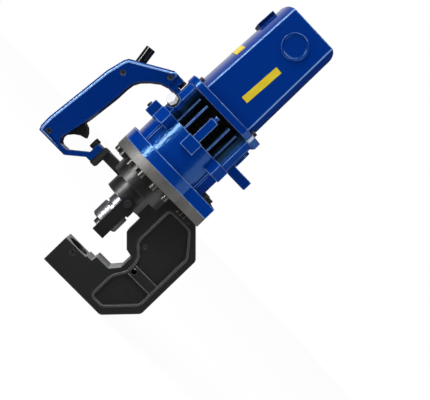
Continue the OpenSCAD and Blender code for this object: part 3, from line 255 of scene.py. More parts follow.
# %% [markdown]
# ## A start for every finish
# Each finish is one Principled shader. One function below makes the material and sets the numbers that are the same all
# over, one places a group in it, and one wires a height to its bump.

# %% Start a finish
def start_finish(name, **numbers):
    """A new material: returns it, its tree and its Principled shader with the given plain socket values."""
    material = bpy.data.materials.new(name)
    material.use_nodes = True
    shader = material.node_tree.nodes["Principled BSDF"]
    for label, value in numbers.items():
        shader.inputs[label.replace("_", " ")].default_value = value
    return material, material.node_tree, shader


def use_group(tree, group, **numbers):
    """A group placed in a finish with its own numbers; returns its outputs."""
    return add(tree, "ShaderNodeGroup", {k.replace("_", " "): v for k, v in numbers.items()}, node_tree=group).outputs


def set_bump(tree, shader, height, distance, normal):
    """Height, in shares of distance, raises the surface from normal."""
    bump = add(tree, "ShaderNodeBump", {"Height": height, "Distance": distance, "Normal": normal})
    tree.links.new(bump.outputs["Normal"], shader.inputs["Normal"])


print("finish tools ready")

# %% [markdown]
# ## Blue paint and blue moulding
# The housing is gloss enamel on rough cast aluminium, so its reflections break up. The motor cover and its flange have
# the same enamel on a smooth skin, and the handle is a smooth moulding. All are a deep blue under a thin clear coat.
# The paint is thin and pale along the casting's edges; that pale tone is partly worn paint and partly a painted
# highlight for the bright lines the edges catch, whitest on the motor flange and the caps' outer rim. The cover's two
# rolled edges carry a painted highlight, the streak of light they catch. Those are found by direction: on them alone
# the surface turns from facing sideways to facing forwards or back. The handle has such a painted highlight along its
# outer run. Painted shade makes the recess between the fins nearly black.

# %% Blue finishes
CAP_AXIS = (0.0072, 0.364)
MOTOR_AXIS_X = 0.0048
BAY_HEIGHTS = (0.2156, 0.2544)
FIN_REACH = (0.0502, 0.0486)
FLANK_REACH = (0.0615, 0.0565)


def fin_bay_shade(tree, place, normal):
    """Where shade is painted: 1 in the recess between the fins, falling to 0 at their reach: at their heights, either
    within that reach of the motor's axis or on the columns' flanks, where the normal is square to the way out from that
    axis."""
    from_axis = maths(tree, "SUBTRACT", place[0], MOTOR_AXIS_X)
    outward = add(tree, "ShaderNodeCombineXYZ", {"X": from_axis, "Y": place[1]}).outputs[0]
    reach = add(tree, "ShaderNodeVectorMath", {0: outward}, operation="LENGTH").outputs["Value"]
    square = add(tree, "ShaderNodeVectorMath", {0: outward, 1: normal}, operation="DOT_PRODUCT").outputs["Value"]
    flank = maths(tree, "LESS_THAN", maths(tree, "ABSOLUTE", square), maths(tree, "MULTIPLY", reach, 0.5))
    deep = maths(tree, "MAXIMUM", between(tree, reach, *FIN_REACH),
                 maths(tree, "MULTIPLY", flank, between(tree, reach, *FLANK_REACH, 0.0, 0.9)))
    return maths(tree, "MULTIPLY", deep, within(tree, place[2], *BAY_HEIGHTS))


def blue_finish(name, colour, edge_wear_and_highlight, skin_scale, skin_distance, rubbed=0.0, span=(0.1, 0.86), beyond=0.0,
                outer_run=False, wear_and_highlight_tone=srgb(146, 184, 244), painted_bay_shade=False):
    """Deep blue under a clear coat, with a paint skin, soft edges and smudges. edge_wear_and_highlight is the share of
    the pale tone on outer edges farther than beyond from the caps' axis: partly paint worn thin, partly a painted
    highlight for the bright lines the edges catch. rubbed is the share of the pale tone as a painted highlight, the
    streak of light on a rolled edge, where the surface's turn lies within span. The turn is the size of the normal's x,
    or, on an outer run, the part of the normal off y, wherever x is below 0. With painted_bay_shade, shade is painted
    into the recess between the fins, which turns dull and nearly black."""
    material, tree, shader = start_finish(name, Coat_Weight=0.2, Coat_Roughness=0.04, IOR=1.5,
                                          Specular_Tint=(0.2, 0.65, 1.0, 1.0))
    edges = use_group(tree, soft_edges, Radius=0.0008)
    spots = use_group(tree, smudges)["Value"]
    normal = add(tree, "ShaderNodeNewGeometry").outputs["Normal"]
    facing = xyz(tree, normal)
    turn = maths(tree, "ABSOLUTE", facing[0])
    if outer_run:
        off_y = maths(tree, "SQRT", maths(tree, "SUBTRACT", 1.0, maths(tree, "MULTIPLY", facing[1], facing[1])))
        turn = maths(tree, "MULTIPLY", off_y, maths(tree, "LESS_THAN", facing[0], -0.02))
    # Painted highlight: where the turn lies within span, the pale tone stands for the streak of light on a rolled edge.
    rolled = maths(tree, "MULTIPLY", between(tree, turn, span[0], span[0] + 0.15),
                   between(tree, turn, span[1], span[1] - 0.08, 0.0, rubbed))
    place = xyz(tree, object_place(tree))
    from_caps = off_axis(tree, place[0], place[2], CAP_AXIS)
    # On outer edges the pale tone is partly thin worn paint and partly a painted highlight line.
    outer = maths(tree, "MULTIPLY", maths(tree, "GREATER_THAN", from_caps, beyond), edge_wear_and_highlight)
    pale = maths(tree, "MAXIMUM", maths(tree, "MULTIPLY", edges["Edge"], outer), rolled)
    tone = blended(tree, maths(tree, "MULTIPLY", spots, 0.25), colour, tuple(0.8 * c for c in colour[:3]) + (1.0,))
    tone = blended(tree, pale, tone, wear_and_highlight_tone)
    rough = between(tree, spots, 0, 1, 0.14, 0.24)
    # Painted shade: in the recess between the fins the blue gives way to near-black, rougher and without coat.
    if painted_bay_shade:
        deep = fin_bay_shade(tree, place, normal)
        tone = blended(tree, deep, tone, srgb(2, 6, 22))
        rough = maths(tree, "MULTIPLY_ADD", deep, 0.6, rough)
        tree.links.new(between(tree, deep, 0, 1, 0.2, 0.0), shader.inputs["Coat Weight"])
    tree.links.new(tone, shader.inputs["Base Color"])
    tree.links.new(rough, shader.inputs["Roughness"])
    skin = use_group(tree, paint_skin, Scale=skin_scale)["Height"]
    set_bump(tree, shader, skin, skin_distance, edges["Normal"])
    return material


finishes = {
    # Pale edges on the castings: partly worn paint, partly painted highlight lines.
    "blue_enamel": blue_finish("blue enamel on casting", srgb(0, 57, 154), 0.8, 340.0, 0.0003),
    # The housing's finish paints shade into the recess between the fins.
    "blue_housing_bay_shade": blue_finish("blue enamel on housing, bay shade painted", srgb(0, 57, 154), 0.8, 340.0, 0.0003, painted_bay_shade=True),
    # Near-white edges on the motor flange: a painted highlight.
    "blue_plate_edge_highlight": blue_finish("blue enamel on plate, edge highlight painted", srgb(0, 53, 148), 0.95, 700.0, 0.00004,
                              wear_and_highlight_tone=srgb(222, 232, 250)),
    # The cover's two rolled edges get a painted highlight.
    "blue_cover_edge_highlight": blue_finish("blue enamel on cover, edge highlight painted", srgb(0, 53, 148), 0.4, 700.0, 0.00004, 0.75),
    # Full pale tone on the caps' outer rim: a painted highlight.
    "blue_cap_rim_highlight": blue_finish("blue enamel on caps, rim highlight painted", srgb(0, 53, 148), 1.0, 700.0, 0.00004, beyond=0.0147),
    # The vent hood is a darker copy of the blue: painted shade.
    "blue_hood_painted_shade": blue_finish("blue enamel in shade", srgb(0, 26, 88), 0.3, 700.0, 0.00004),
    # The handle's outer run gets a painted highlight.
    "blue_shell": blue_finish("blue moulding, outer highlight painted", srgb(0, 46, 132), 0.08, 700.0, 0.00002, 0.85, (0.02, 0.6),
                              outer_run=True),
}
print("finishes:", list(finishes))

# %% [markdown]
# ## The cast C-frame
# The frame is satin black over sand-cast steel, but three places are cut bare by a machine: the round flange that the
# pump housing is bolted to, the top of the jaw and the walls of the throat. They could be separate pieces. They are
# one casting on the real punch, so masks on height, place and direction choose bare steel there instead.

# %% Black casting with bare faces
FLANGE_HEIGHTS = (0.1503, 0.1627)
THROAT_X, THROAT_Z = (-0.034, 0.0506), (0.0345, 0.0945)
GAUGE_HOLE, GAUGE_HOLE_RADIUS = (0.064, 0.06215), 0.00345


def casting_finish():
    """Black paint with grain. It is bare where the height is the flange's, or where a wall of the throat doesn't face
    sideways, and dull inside the hole for a gauge."""
    material, tree, shader = start_finish("black casting", IOR=1.45, Coat_Roughness=0.3)
    edges = use_group(tree, soft_edges, Radius=0.0009)
    grain = use_group(tree, cast_grain)
    spots = use_group(tree, smudges)["Value"]
    place = xyz(tree, object_place(tree))
    facing = xyz(tree, add(tree, "ShaderNodeNewGeometry").outputs["Normal"])
    flange = within(tree, place[2], *FLANGE_HEIGHTS)
    walls = maths(tree, "MULTIPLY", within(tree, place[0], *THROAT_X), within(tree, place[2], *THROAT_Z))
    walls = maths(tree, "MULTIPLY", walls, maths(tree, "LESS_THAN", maths(tree, "ABSOLUTE", facing[1]), 0.4))
    bare = add(tree, "ShaderNodeMath", {0: flange, 1: walls}, operation="MAXIMUM", use_clamp=True).outputs[0]
    from_hole = off_axis(tree, place[0], place[2], GAUGE_HOLE)
    open_face = maths(tree, "GREATER_THAN", from_hole, GAUGE_HOLE_RADIUS)
    cut = use_group(tree, turned_lines, Axis_X=MOTOR_AXIS_X, Scale=1500.0)["Height"]
    black = blended(tree, grain["Tone"], srgb(22, 23, 24), srgb(43, 44, 44))
    black = blended(tree, maths(tree, "MULTIPLY", edges["Edge"], 0.6), black, srgb(96, 96, 96))
    steel = blended(tree, flange, srgb(190, 191, 194), blended(tree, spots, srgb(138, 137, 134), srgb(104, 103, 100)))
    tree.links.new(blended(tree, bare, black, steel), shader.inputs["Base Color"])
    tree.links.new(maths(tree, "MULTIPLY", bare, 0.6), shader.inputs["Metallic"])
    tree.links.new(maths(tree, "MULTIPLY", maths(tree, "MULTIPLY_ADD", bare, -0.95, 0.95), open_face),
                   shader.inputs["Coat Weight"])
    black_gloss = maths(tree, "MULTIPLY_ADD", open_face, -0.55, between(tree, grain["Tone"], 0, 1, 0.87, 1.0))
    tree.links.new(add(tree, "ShaderNodeMix", {0: bare, 2: black_gloss, 3: between(tree, cut, 0.3, 0.7, 0.46, 0.6)},
                       data_type="FLOAT").outputs[0], shader.inputs["Roughness"])
    relief = add(tree, "ShaderNodeMix", {0: bare, 2: grain["Height"], 3: maths(tree, "MULTIPLY", cut, 0.3)},
                 data_type="FLOAT").outputs[0]
    set_bump(tree, shader, relief, 0.0001, edges["Normal"])
    return material


finishes["black_casting"] = casting_finish()
print("finishes:", list(finishes))

# %% [markdown]
# ## Steel, bronze and chrome
# The screws and bars are black oxide, which is a thin dark skin on steel. The ram is chromed and the filler plug plated
# with pale zinc, which is made plain white and not metallic: partly its own pale tone, partly a painted reflection of
# the glare it catches. The rest is bright, grey or bronze. All have turned lines and worn edges, so one function makes
# them and the numbers differ.

# %% Metal finishes
def metal_finish(name, colour, dark, edge_colour, metallic, dull, shine, lines):
    """Metal whose tone and roughness wander between two values, with rings from the lathe and rubbed edges."""
    material, tree, shader = start_finish(name, Metallic=metallic)
    edges = use_group(tree, soft_edges, Radius=0.0005, Reach=0.0009, Patches=260.0)
    spots = use_group(tree, smudges, Scale=60.0)["Value"]
    tone = blended(tree, spots, colour, dark)
    tree.links.new(blended(tree, maths(tree, "MULTIPLY", edges["Edge"], 0.7), tone, edge_colour),
                   shader.inputs["Base Color"])
    tree.links.new(between(tree, spots, 0, 1, shine, dull), shader.inputs["Roughness"])
    set_bump(tree, shader, use_group(tree, turned_lines)["Height"], lines, edges["Normal"])
    return material


finishes["black_steel"] = metal_finish("black oxide steel", srgb(44, 44, 46), srgb(30, 30, 31), srgb(140, 140, 142),
                                       0.35, 0.46, 0.3, 0.00002)
finishes["bright_steel"] = metal_finish("bright steel", srgb(240, 242, 245), srgb(220, 222, 225), srgb(246, 246, 247),
                                        0.4, 0.38, 0.24, 0.00003)
finishes["chromed_steel"] = metal_finish("chromed steel", srgb(214, 215, 219), srgb(196, 197, 202),
                                         srgb(236, 236, 238), 1.0, 0.34, 0.24, 0.00001)
# Plain white and not metallic: pale zinc with a painted reflection of glare.
finishes["pale_zinc_and_painted_glare"] = metal_finish("pale zinc on steel, glare painted", srgb(248, 249, 250), srgb(236, 237, 240),
                                     srgb(250, 250, 251), 0.0, 0.36, 0.22, 0.00003)
finishes["grey_steel"] = metal_finish("grey steel", srgb(128, 126, 123), srgb(96, 93, 90), srgb(176, 175, 172),
                                      1.0, 0.46, 0.3, 0.00004)
finishes["bronze"] = metal_finish("bronze", srgb(190, 150, 88), srgb(150, 112, 60), srgb(222, 190, 128),
                                  1.0, 0.4, 0.24, 0.00004)
print("finishes:", list(finishes))

# %% [markdown]
# ## Rubber, black plastic and film
# The pad is matt rubber and the cord guard a smooth sleeve. The trigger is black plastic with a fine etched grain.
# The stickers are blank yellow film: they carry nothing, only a slight waviness where the film follows the paint
# below it.

# %% Soft and thin finishes
def grained_finish(name, colour, light, dull, shine, scale, distance, radius, ior=1.48):
    """A dark moulding: fine grain in the bump, tone between two colours and soft edges."""
    material, tree, shader = start_finish(name, IOR=ior)
    edges = use_group(tree, soft_edges, Radius=radius, Reach=0.001)
    grain = use_group(tree, cast_grain, Scale=scale)
    tone = blended(tree, grain["Tone"], colour, light)
    worn = tuple(3 * c for c in light[:3]) + (1.0,)
    tree.links.new(blended(tree, maths(tree, "MULTIPLY", edges["Edge"], 0.4), tone, worn), shader.inputs["Base Color"])
    tree.links.new(between(tree, use_group(tree, smudges)["Value"], 0, 1, shine, dull), shader.inputs["Roughness"])
    set_bump(tree, shader, grain["Height"], distance, edges["Normal"])
    return material


def film_finish():
    """Yellow film with a shallow waviness and a slightly uneven tone."""
    material, tree, shader = start_finish("yellow film", IOR=1.46)
    spots = use_group(tree, smudges, Scale=90.0)["Value"]
    tree.links.new(blended(tree, maths(tree, "MULTIPLY", spots, 0.35), srgb(244, 218, 44), srgb(228, 196, 26)),
                   shader.inputs["Base Color"])
    tree.links.new(between(tree, spots, 0, 1, 0.24, 0.4), shader.inputs["Roughness"])
    edges = use_group(tree, soft_edges, Radius=0.0002)
    set_bump(tree, shader, use_group(tree, paint_skin, Scale=300.0)["Height"], 0.00008, edges["Normal"])
    return material


finishes["black_rubber"] = grained_finish("black rubber", srgb(14, 14, 14), srgb(24, 24, 24), 0.78, 0.62, 1500.0,
                                          0.00004, 0.0006)
finishes["smooth_black"] = grained_finish("smooth black sleeve", srgb(16, 17, 18), srgb(28, 29, 30), 0.2, 0.14, 1500.0,
                                          0.00001, 0.0004)
# Painted shade: near-black, dull and hardly reflecting, for the gear case and the oil bladder in the recess between the
# fins.
finishes["painted_shade_black"] = grained_finish("black as painted shade", srgb(6, 6, 6), srgb(14, 14, 14), 0.9, 0.8, 1500.0, 0.00004,
                                        0.0006, 1.15)
finishes["black_plastic"] = grained_finish("black plastic", srgb(18, 18, 19), srgb(28, 28, 29), 0.5, 0.36, 2200.0,
                                           0.00002, 0.0008)
finishes["rubbed_casting"] = grained_finish("rubbed casting", srgb(58, 58, 58), srgb(96, 96, 96), 0.46, 0.34, 900.0,
                                            0.00006, 0.0006)
finishes["yellow_film"] = film_finish()
print("finishes:", len(finishes))

# %% [markdown]
# ## From loose triangles to smooth pieces
# A solid from CAD arrives as loose triangles, so its round faces would show flats. Each piece is therefore copied,
# the corners that lie on each other are merged, flat triangles are joined into one face, and shading is smooth except
# across real edges. The copy then stands for the solid. Edges may also get a rounding of their own from a Bevel
# modifier, with a weight on each edge that says how much of the width it takes.

# %% Merge, measure edges and dress
SAME_CORNER, FLAT_ANGLE = 2e-6, 0.3
SHADED_ANGLE, ROUNDED_ANGLE = 28, 38
# The gear case takes the near-black of painted shade, for the recess between the fins.
look_of = slot_of | {"pump_housing": "blue_housing_bay_shade", "motor_cover": "blue_cover_edge_highlight", "motor_flange": "blue_plate_edge_highlight",
                     "side_caps": "blue_cap_rim_highlight", "front_vent": "blue_hood_painted_shade", "gear_case": "painted_shade_black",
                     "cord_guard": "smooth_black", "filler_plug": "pale_zinc_and_painted_glare"}


def merged_mesh(nodes, seam=None):
    """The solids' mesh with equal corners merged and flat neighbours joined. Faces that lie wholly in the height seam
    are taken out, so two halves of one casting become one skin."""
    shape = bmesh.new()
    for node in nodes:
        shape.from_mesh(frame["nodes"][node].data)
    bmesh.ops.remove_doubles(shape, verts=shape.verts, dist=SAME_CORNER)
    if seam is not None:
        inner = [f for f in shape.faces if max(abs(v.co.z - seam) for v in f.verts) < 1e-6]
        bmesh.ops.delete(shape, geom=inner, context="FACES")
    bmesh.ops.dissolve_limit(shape, angle_limit=math.radians(FLAT_ANGLE), verts=shape.verts, edges=shape.edges)
    mesh = bpy.data.meshes.new(nodes[0] + "_dressed")
    shape.to_mesh(mesh)
    shape.free()
    return mesh


def edge_angles(mesh):
    """For each edge: its middle, in mm, and the angle between its two faces, from the faces' normals. The loops are
    sorted by edge, so the two loops of an edge are neighbours in the sorted row."""
    ends = np.zeros(2 * len(mesh.edges), int)
    mesh.edges.foreach_get("vertices", ends)
    corners = np.zeros(3 * len(mesh.vertices))
    mesh.vertices.foreach_get("co", corners)
    middle = corners.reshape(-1, 3)[ends.reshape(-1, 2)].mean(1) / MM
    normals = np.zeros(3 * len(mesh.polygons))
    mesh.polygons.foreach_get("normal", normals)
    normals = normals.reshape(-1, 3)
    sizes = np.zeros(len(mesh.polygons), int)
    mesh.polygons.foreach_get("loop_total", sizes)
    edge_of_loop = np.zeros(len(mesh.loops), int)
    mesh.loops.foreach_get("edge_index", edge_of_loop)
    face_of_loop = np.repeat(np.arange(len(mesh.polygons)), sizes)
    order = np.argsort(edge_of_loop, kind="stable")
    first = np.searchsorted(edge_of_loop[order], np.arange(len(mesh.edges)))
    paired = np.bincount(edge_of_loop, minlength=len(mesh.edges)) == 2
    a = face_of_loop[order[first]]
    b = face_of_loop[order[np.minimum(first + 1, len(order) - 1)]]
    cosine = np.clip((normals[a] * normals[b]).sum(1), -1, 1)
    return middle, np.where(paired, np.degrees(np.arccos(cosine)), 0.0)


def dress(node, width=0.0, weigh=None, segments=3, other_nodes=(), seam=None):
    """Puts a merged, smooth-shaded copy in the solid's place. width, in mm, is the rounding of an edge of weight 1."""
    mesh = merged_mesh([node, *other_nodes], seam)
    mesh.shade_smooth()
    middle, angle = edge_angles(mesh)
    mesh.attributes.new("sharp_edge", "BOOLEAN", "EDGE").data.foreach_set("value", angle > SHADED_ANGLE)
    mesh.materials.append(finishes[look_of[node]])
    piece = bpy.data.objects.new(node + "_dressed", mesh)
    bpy.context.scene.collection.objects.link(piece)
    if width:
        weights = np.where(angle > ROUNDED_ANGLE, 1.0, 0.0) if weigh is None else weigh(middle, angle)
        mesh.attributes.new("bevel_weight_edge", "FLOAT", "EDGE").data.foreach_set("value", weights.astype(np.float32))
        bevel = piece.modifiers.new("rounded edges", "BEVEL")
        bevel.limit_method = "WEIGHT"
        bevel.width = width * MM
        bevel.segments = segments
        bevel.use_clamp_overlap = False
        bevel.loop_slide = False
        bevel.miter_outer = "MITER_ARC"
    even = piece.modifiers.new("even shading", "WEIGHTED_NORMAL")
    even.keep_sharp = True
    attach(piece, body_of[node])
    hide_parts(node, *other_nodes)
    return piece


print("dressing tools ready")

# %% [markdown]
# ## The C-frame, the motor cover and the handle
# The frame is one casting. CAD keeps its head apart, so that the throat stays open to a physics engine, and here the
# two halves become one skin again, with its outer corners rounded. The motor cover has a flat side between two bulges,
# with a rolled edge where they meet, and the handle has a wide rounding along its outer run only, because the hand's
# side is nearly sharp. All three sets of edges are chosen by their place as well as their angle.

# %% Frame, cover and handle
OUTER_CORNERS = np.array([(72.4, 0.0), (104.4, 34.0), (104.4, 120.5)])
COVER_SIDE, HANDLE_SIDE, ON_EDGE = 42, 15, 0.05
CAP_HOLE_RIM = 18
HEAD_SEAM = 0.1075


def frame_edges(middle, angle):
    """Weight 1 on the edges that cross the frame at the outer corners of its outline."""
    away = np.linalg.norm(middle[:, None, [0, 2]] - OUTER_CORNERS, axis=-1).min(1)
    return np.where((away < ON_EDGE) & (angle > 30) & (np.abs(middle[:, 1]) < 0.1), 1.0, 0.0)


def cover_edges(middle, angle):
    """Weight 1 on the rim of the flat sides and of the top, from a shallow angle on, and 0.3 on other sharp edges."""
    rim = (np.abs(np.abs(middle[:, 1]) - COVER_SIDE) < ON_EDGE) & (angle > 12)
    cap_hole = np.hypot(middle[:, 0] - CAP_AXIS[0] / MM, middle[:, 2] - CAP_AXIS[1] / MM) < CAP_HOLE_RIM
    return np.where(rim & ~cap_hole, 1.0, np.where(angle > ROUNDED_ANGLE, 0.3, 0.0))


OUTER_RUN = np.array([(-67.06, 252.8), (-112.21, 225.28), (-114.86, 220.14), (-119.81, 198.53), (-127.4, 116.43),
                      (-127.06, 102.74), (-124.69, 97.3), (-85.7, 97.3)])


def handle_edges(middle, angle):
    """Weight 1 on the edges of both flat sides that lie on the handle's outer run: the distance to a stretch of the run
    is taken to its nearest point, whose share of the stretch is held between 0 and 1."""
    start, along = OUTER_RUN[:-1], np.diff(OUTER_RUN, axis=0)
    to_start = middle[:, None, [0, 2]] - start
    share = np.clip((to_start * along).sum(-1) / (along ** 2).sum(-1), 0, 1)
    away = np.linalg.norm(to_start - share[..., None] * along, axis=-1).min(1)
    return np.where((away < ON_EDGE) & (np.abs(np.abs(middle[:, 1]) - HANDLE_SIDE) < 0.01), 1.0, 0.0)


casting = dress("c_frame", 2.5, frame_edges, 5, ("frame_head",), HEAD_SEAM)
cover = dress("motor_cover", 1.4, cover_edges, 4)
halves = [dress(node, 4.6, handle_edges, 7) for node in ("handle_near_half", "handle_far_half")]
print([p.name for p in (casting, cover, *halves)])

# %% [markdown]
# ## Plain castings, plates and fasteners
# The other pieces keep their CAD shape. Simple ones get a real rounding of a fraction of a millimetre, so that their
# edges glint from every side. The castings with many ribs get it from the finish alone, because ribs that run into
# each other leave no room for a modelled rounding.

# %% Dress the other solids
wound = {"return_spring", "plunger_springs", "trigger_spring", "oil_bladder"}
done = {"c_frame", "frame_head", "motor_cover", "handle_near_half", "handle_far_half"}
rounding = {"side_caps": 0.9, "motor_flange": 1.1, "rest_foot": 0.9, "rear_plate": 0.5, "upper_bracket": 0.7,
            "handle_pad": 0.5, "trigger": 1.2, "stripper_bars": 0.5, "release_block": 0.8, "front_vent": 0.4,
            "switch_body": 0.6}
for node in frame["nodes"]:
    if node not in wound | done:
        dress(node, rounding.get(node, 0.0))

# %% [markdown]
# ## Grids into meshes
# Every new piece below is a grid of points worked out by a formula. One function joins the grid's rows and columns
# into faces, and closes it both ways where the shape is a ring. Another makes a piece of them.

# %% Grid to piece
def grid_faces(rows, columns, loop_rows=False):
    """The four corners of each face of a grid whose columns close on themselves: i, i+1 with j, j+1. Rows close too
    where loop_rows is set."""
    number = np.arange(rows * columns).reshape(rows, columns)
    right = np.roll(number, -1, 1)
    down, corner = np.roll(number, -1, 0), np.roll(right, -1, 0)
    keep = rows if loop_rows else rows - 1
    return np.stack([number, right, corner, down], -1)[:keep].reshape(-1, 4)


def grid_piece(name, points, body, slot, replaces=None, loop_rows=False, look=None):
    """points[i, j] are the corners of a grid. Where its rows don't close, the first and last row are points. The finish
    is the slot's own unless look names another."""
    faces = grid_faces(*points.shape[:2], loop_rows)
    mesh = bpy.data.meshes.new(name)
    mesh.from_pydata(points.reshape(-1, 3).tolist(), [], faces.tolist())
    shape = bmesh.new()
    shape.from_mesh(mesh)
    bmesh.ops.remove_doubles(shape, verts=shape.verts, dist=1e-7)
    bmesh.ops.recalc_face_normals(shape, faces=shape.faces)
    shape.to_mesh(mesh)
    shape.free()
    mesh.shade_smooth()
    mesh.materials.append(finishes[look or slot])
    piece = bpy.data.objects.new(name, mesh)
    bpy.context.scene.collection.objects.link(piece)
    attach(piece, body)
    if replaces:
        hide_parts(replaces)
    return piece


print("grid tool ready")

# %% [markdown]
# ## Wound springs
# A return spring lifts the ram, two small ones press the pump's plungers on the eccentric, and one pushes the trigger
# out. Each is round wire on a helix whose first and last turns lie close, so that it stands square. The wire is a
# circle carried along that path.

# %% Springs
def spring_points(start, axis, length, radius, wire, turns, dead=0.6, steps=160):
    """A circle of the wire's size carried along a helix: the climb per turn is nearly one wire in the dead turns at
    both ends and even between them. The circle spans the outward direction and the one square to it and to the helix.
    At the ends the circle shrinks to a point, which closes the wire."""
    axis = np.array(axis, float)
    one = np.cross(axis, [0.0, 0.0, 1.0] if abs(axis[2]) < 0.9 else [1.0, 0.0, 0.0])
    one /= np.linalg.norm(one)
    two = np.cross(axis, one)
    turn = np.linspace(0, turns, steps)
    ease = np.clip((turn - dead) / (turns - 2 * dead), 0, 1)
    close = wire * 0.9
    climb = np.minimum(turn, dead) * close + ease * (length - wire - 2 * dead * close)
    climb += np.clip(turn - (turns - dead), 0, dead) * close
    angle = 2 * np.pi * turn
    outward = np.cos(angle)[:, None] * one + np.sin(angle)[:, None] * two
    centre = np.array(start) + outward * radius + (climb + wire / 2)[:, None] * axis
    along = np.gradient(centre, axis=0)
    along /= np.linalg.norm(along, axis=1)[:, None]
    across = np.cross(along, outward)
    size = np.full(steps, wire / 2)
    size[[0, -1]] = 0
    centre[[0, -1]] = centre[[1, -2]]
    round_ = np.linspace(0, 2 * np.pi, 12, endpoint=False)
    ring = np.cos(round_)[None, :, None] * outward[:, None] + np.sin(round_)[None, :, None] * across[:, None]
    return (centre[:, None] + size[:, None, None] * ring) * MM


coil = grid_piece("return_spring_coil", spring_points([0, 0, 117.5], [0, 0, 1], 40, 20.7, 4.4, 4, 0.5), "frame",
                  "bright_steel", "return_spring")
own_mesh(coil)
plunger_coils = [grid_piece("plunger_spring_" + side,
                            spring_points([-17.2, way * 28.99, 200], [0, way, 0], 10.77, 3.2, 0.8, 5), "frame",
                            "bright_steel", "plunger_springs") for side, way in (("near", -1), ("far", 1))]
pull_coil = grid_piece("trigger_spring_coil", spring_points([-112.69, 0, 128.4], [1, 0, 0], 6.89, 2.4, 0.6, 4.5),
                       "frame", "bright_steel", "trigger_spring")
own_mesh(pull_coil)
print("springs:", [len(p.data.polygons) for p in (coil, *plunger_coils, pull_coil)])

# %% [markdown]
# ## The oil bladder
# Above the pump sits a rubber bag of oil that folds as oil leaves it. It rings the drive shaft, so it is a closed tube
# of skin: an outer wall with folds, a dished top, a wall round the shaft and a flat bottom.

# %% Bladder
def bladder_points(low, high, outer, bore, folds=4, count=96):
    """A closed path of skin, swept round. At every step the ring's centre and radius lie a share of the way from the
    outer circle to the bore's circle. The outer wall waves in by a cosine of the height, and the top dips by a cosine
    of the share."""
    fold_depth, top_dip = 0.9, 0.7
    t = np.linspace(0, 1, 25)
    wave = fold_depth * (1 - np.cos(2 * np.pi * folds * t))
    share = np.concatenate([0 * t, t[1:], 1 + 0 * t[1:], 1 - t[1:-1]])
    dip = np.concatenate([wave, 0 * t[1:], 0 * t[1:], 0 * t[1:-1]])
    height = np.concatenate([low + (high - low) * t, high - top_dip * (1 - np.cos(4 * np.pi * t[1:])),
                             high - (high - low) * t[1:], low + 0 * t[1:-1]])
    angle = np.linspace(0, 2 * np.pi, count, endpoint=False)
    x = outer[0] + (bore[0] - outer[0]) * share
    radius = outer[1] + (bore[1] - outer[1]) * share - dip
    return np.stack([x[:, None] + radius[:, None] * np.cos(angle), radius[:, None] * np.sin(angle),
                     height[:, None] + 0 * angle], -1) * MM


# The bladder is coloured near-black as painted shade, like the gear case beside it.
bladder = grid_piece("oil_bladder_folded", bladder_points(215.8, 238.2, (4.8, 42.7), (-17.2, 9.0)), "frame",
                     "black_rubber", "oil_bladder", loop_rows=True, look="painted_shade_black")
print("bladder faces:", len(bladder.data.polygons))

# %% [markdown]
# ## Cast beads round the pockets
# Both sides of the C-frame have two sunk pockets with a band between them. One raised bead runs round both, as a
# pattern maker leaves it, and a thin line marks each side of the band. The bead is a flat half round carried along the
# outline with rounded corners, and it sits on the frame's face.

# %% Pocket beads
POCKET_RIM = np.array([(44, 138.5), (73.4, 138.5), (94.4, 114.5), (94.4, 40), (66.4, 10), (50.9, 10), (50.9, 40),
                       (60, 56), (60, 68.3), (57, 78.3), (44, 89.5)])
BAND_HEIGHTS, BAND_ENDS = (56.0, 68.3), (61, 93.5)
FRAME_SIDE = 19


def rounded_outline(corners, radius, steps=7):
    """Each corner becomes a curve from a point radius before it to a point radius after it, pulled by the corner."""
    def towards(other):
        line = other - corners
        return line / np.linalg.norm(line, axis=1)[:, None]
    before = corners + radius * towards(np.roll(corners, 1, 0))
    after = corners + radius * towards(np.roll(corners, -1, 0))
    t = np.linspace(0, 1, steps)[None, :, None]
    curve = (1 - t) ** 2 * before[:, None] + 2 * t * (1 - t) * corners[:, None] + t ** 2 * after[:, None]
    return curve.reshape(-1, 2)


def bead_points(corners, face, outward, half=1.6, proud=0.9, offset=1.6, radius=4.0):
    """A flattened circle, half wide and proud high, carried along the outline and moved off it by offset."""
    path = rounded_outline(corners, radius)
    along = np.roll(path, -1, 0) - np.roll(path, 1, 0)
    along /= np.linalg.norm(along, axis=1)[:, None]
    aside = np.column_stack([-along[:, 1], along[:, 0]])
    aside *= np.sign((aside * (path - path.mean(0))).sum(1).mean())
    angle = np.linspace(0, 2 * np.pi, 14, endpoint=False)
    flat = path[:, None] + aside[:, None] * (offset + half * np.cos(angle))[None, :, None]
    depth = face + outward * proud * np.sin(angle)
    return np.stack([flat[..., 0], np.broadcast_to(depth, flat.shape[:2]), flat[..., 1]], -1) * MM


left, right = BAND_ENDS
for side, face, outward in (("near", -FRAME_SIDE, -1), ("far", FRAME_SIDE, 1)):
    grid_piece("pocket_bead_" + side, bead_points(POCKET_RIM, face, outward), "frame", "black_casting", loop_rows=True,
               look="rubbed_casting")
    for height in BAND_HEIGHTS:
        line = np.array([(left, height), (right, height), (right, height + 0.1), (left, height + 0.1)])
        grid_piece(f"band_line_{height:.0f}_{side}", bead_points(line, face, outward, 0.4, 0.3, 0.3, 0.02), "frame",
                   "black_casting", loop_rows=True)
print("beads:", 2, "band lines:", 4)

# %% [markdown]
# ## Floor, world and lamps
# A white floor lies under the punch. The world is plain white to the camera. To reflections it is bright behind the
# punch on the handle's side, and dark in front and on the spine's side, as in a studio where the photographer stands in
# the dark: so the flat blue side stays deep and the curves turn pale at their rims. The floor shines white to the
# camera but keeps part of its own shading, so the shadow stays, and it is dim in reflections.

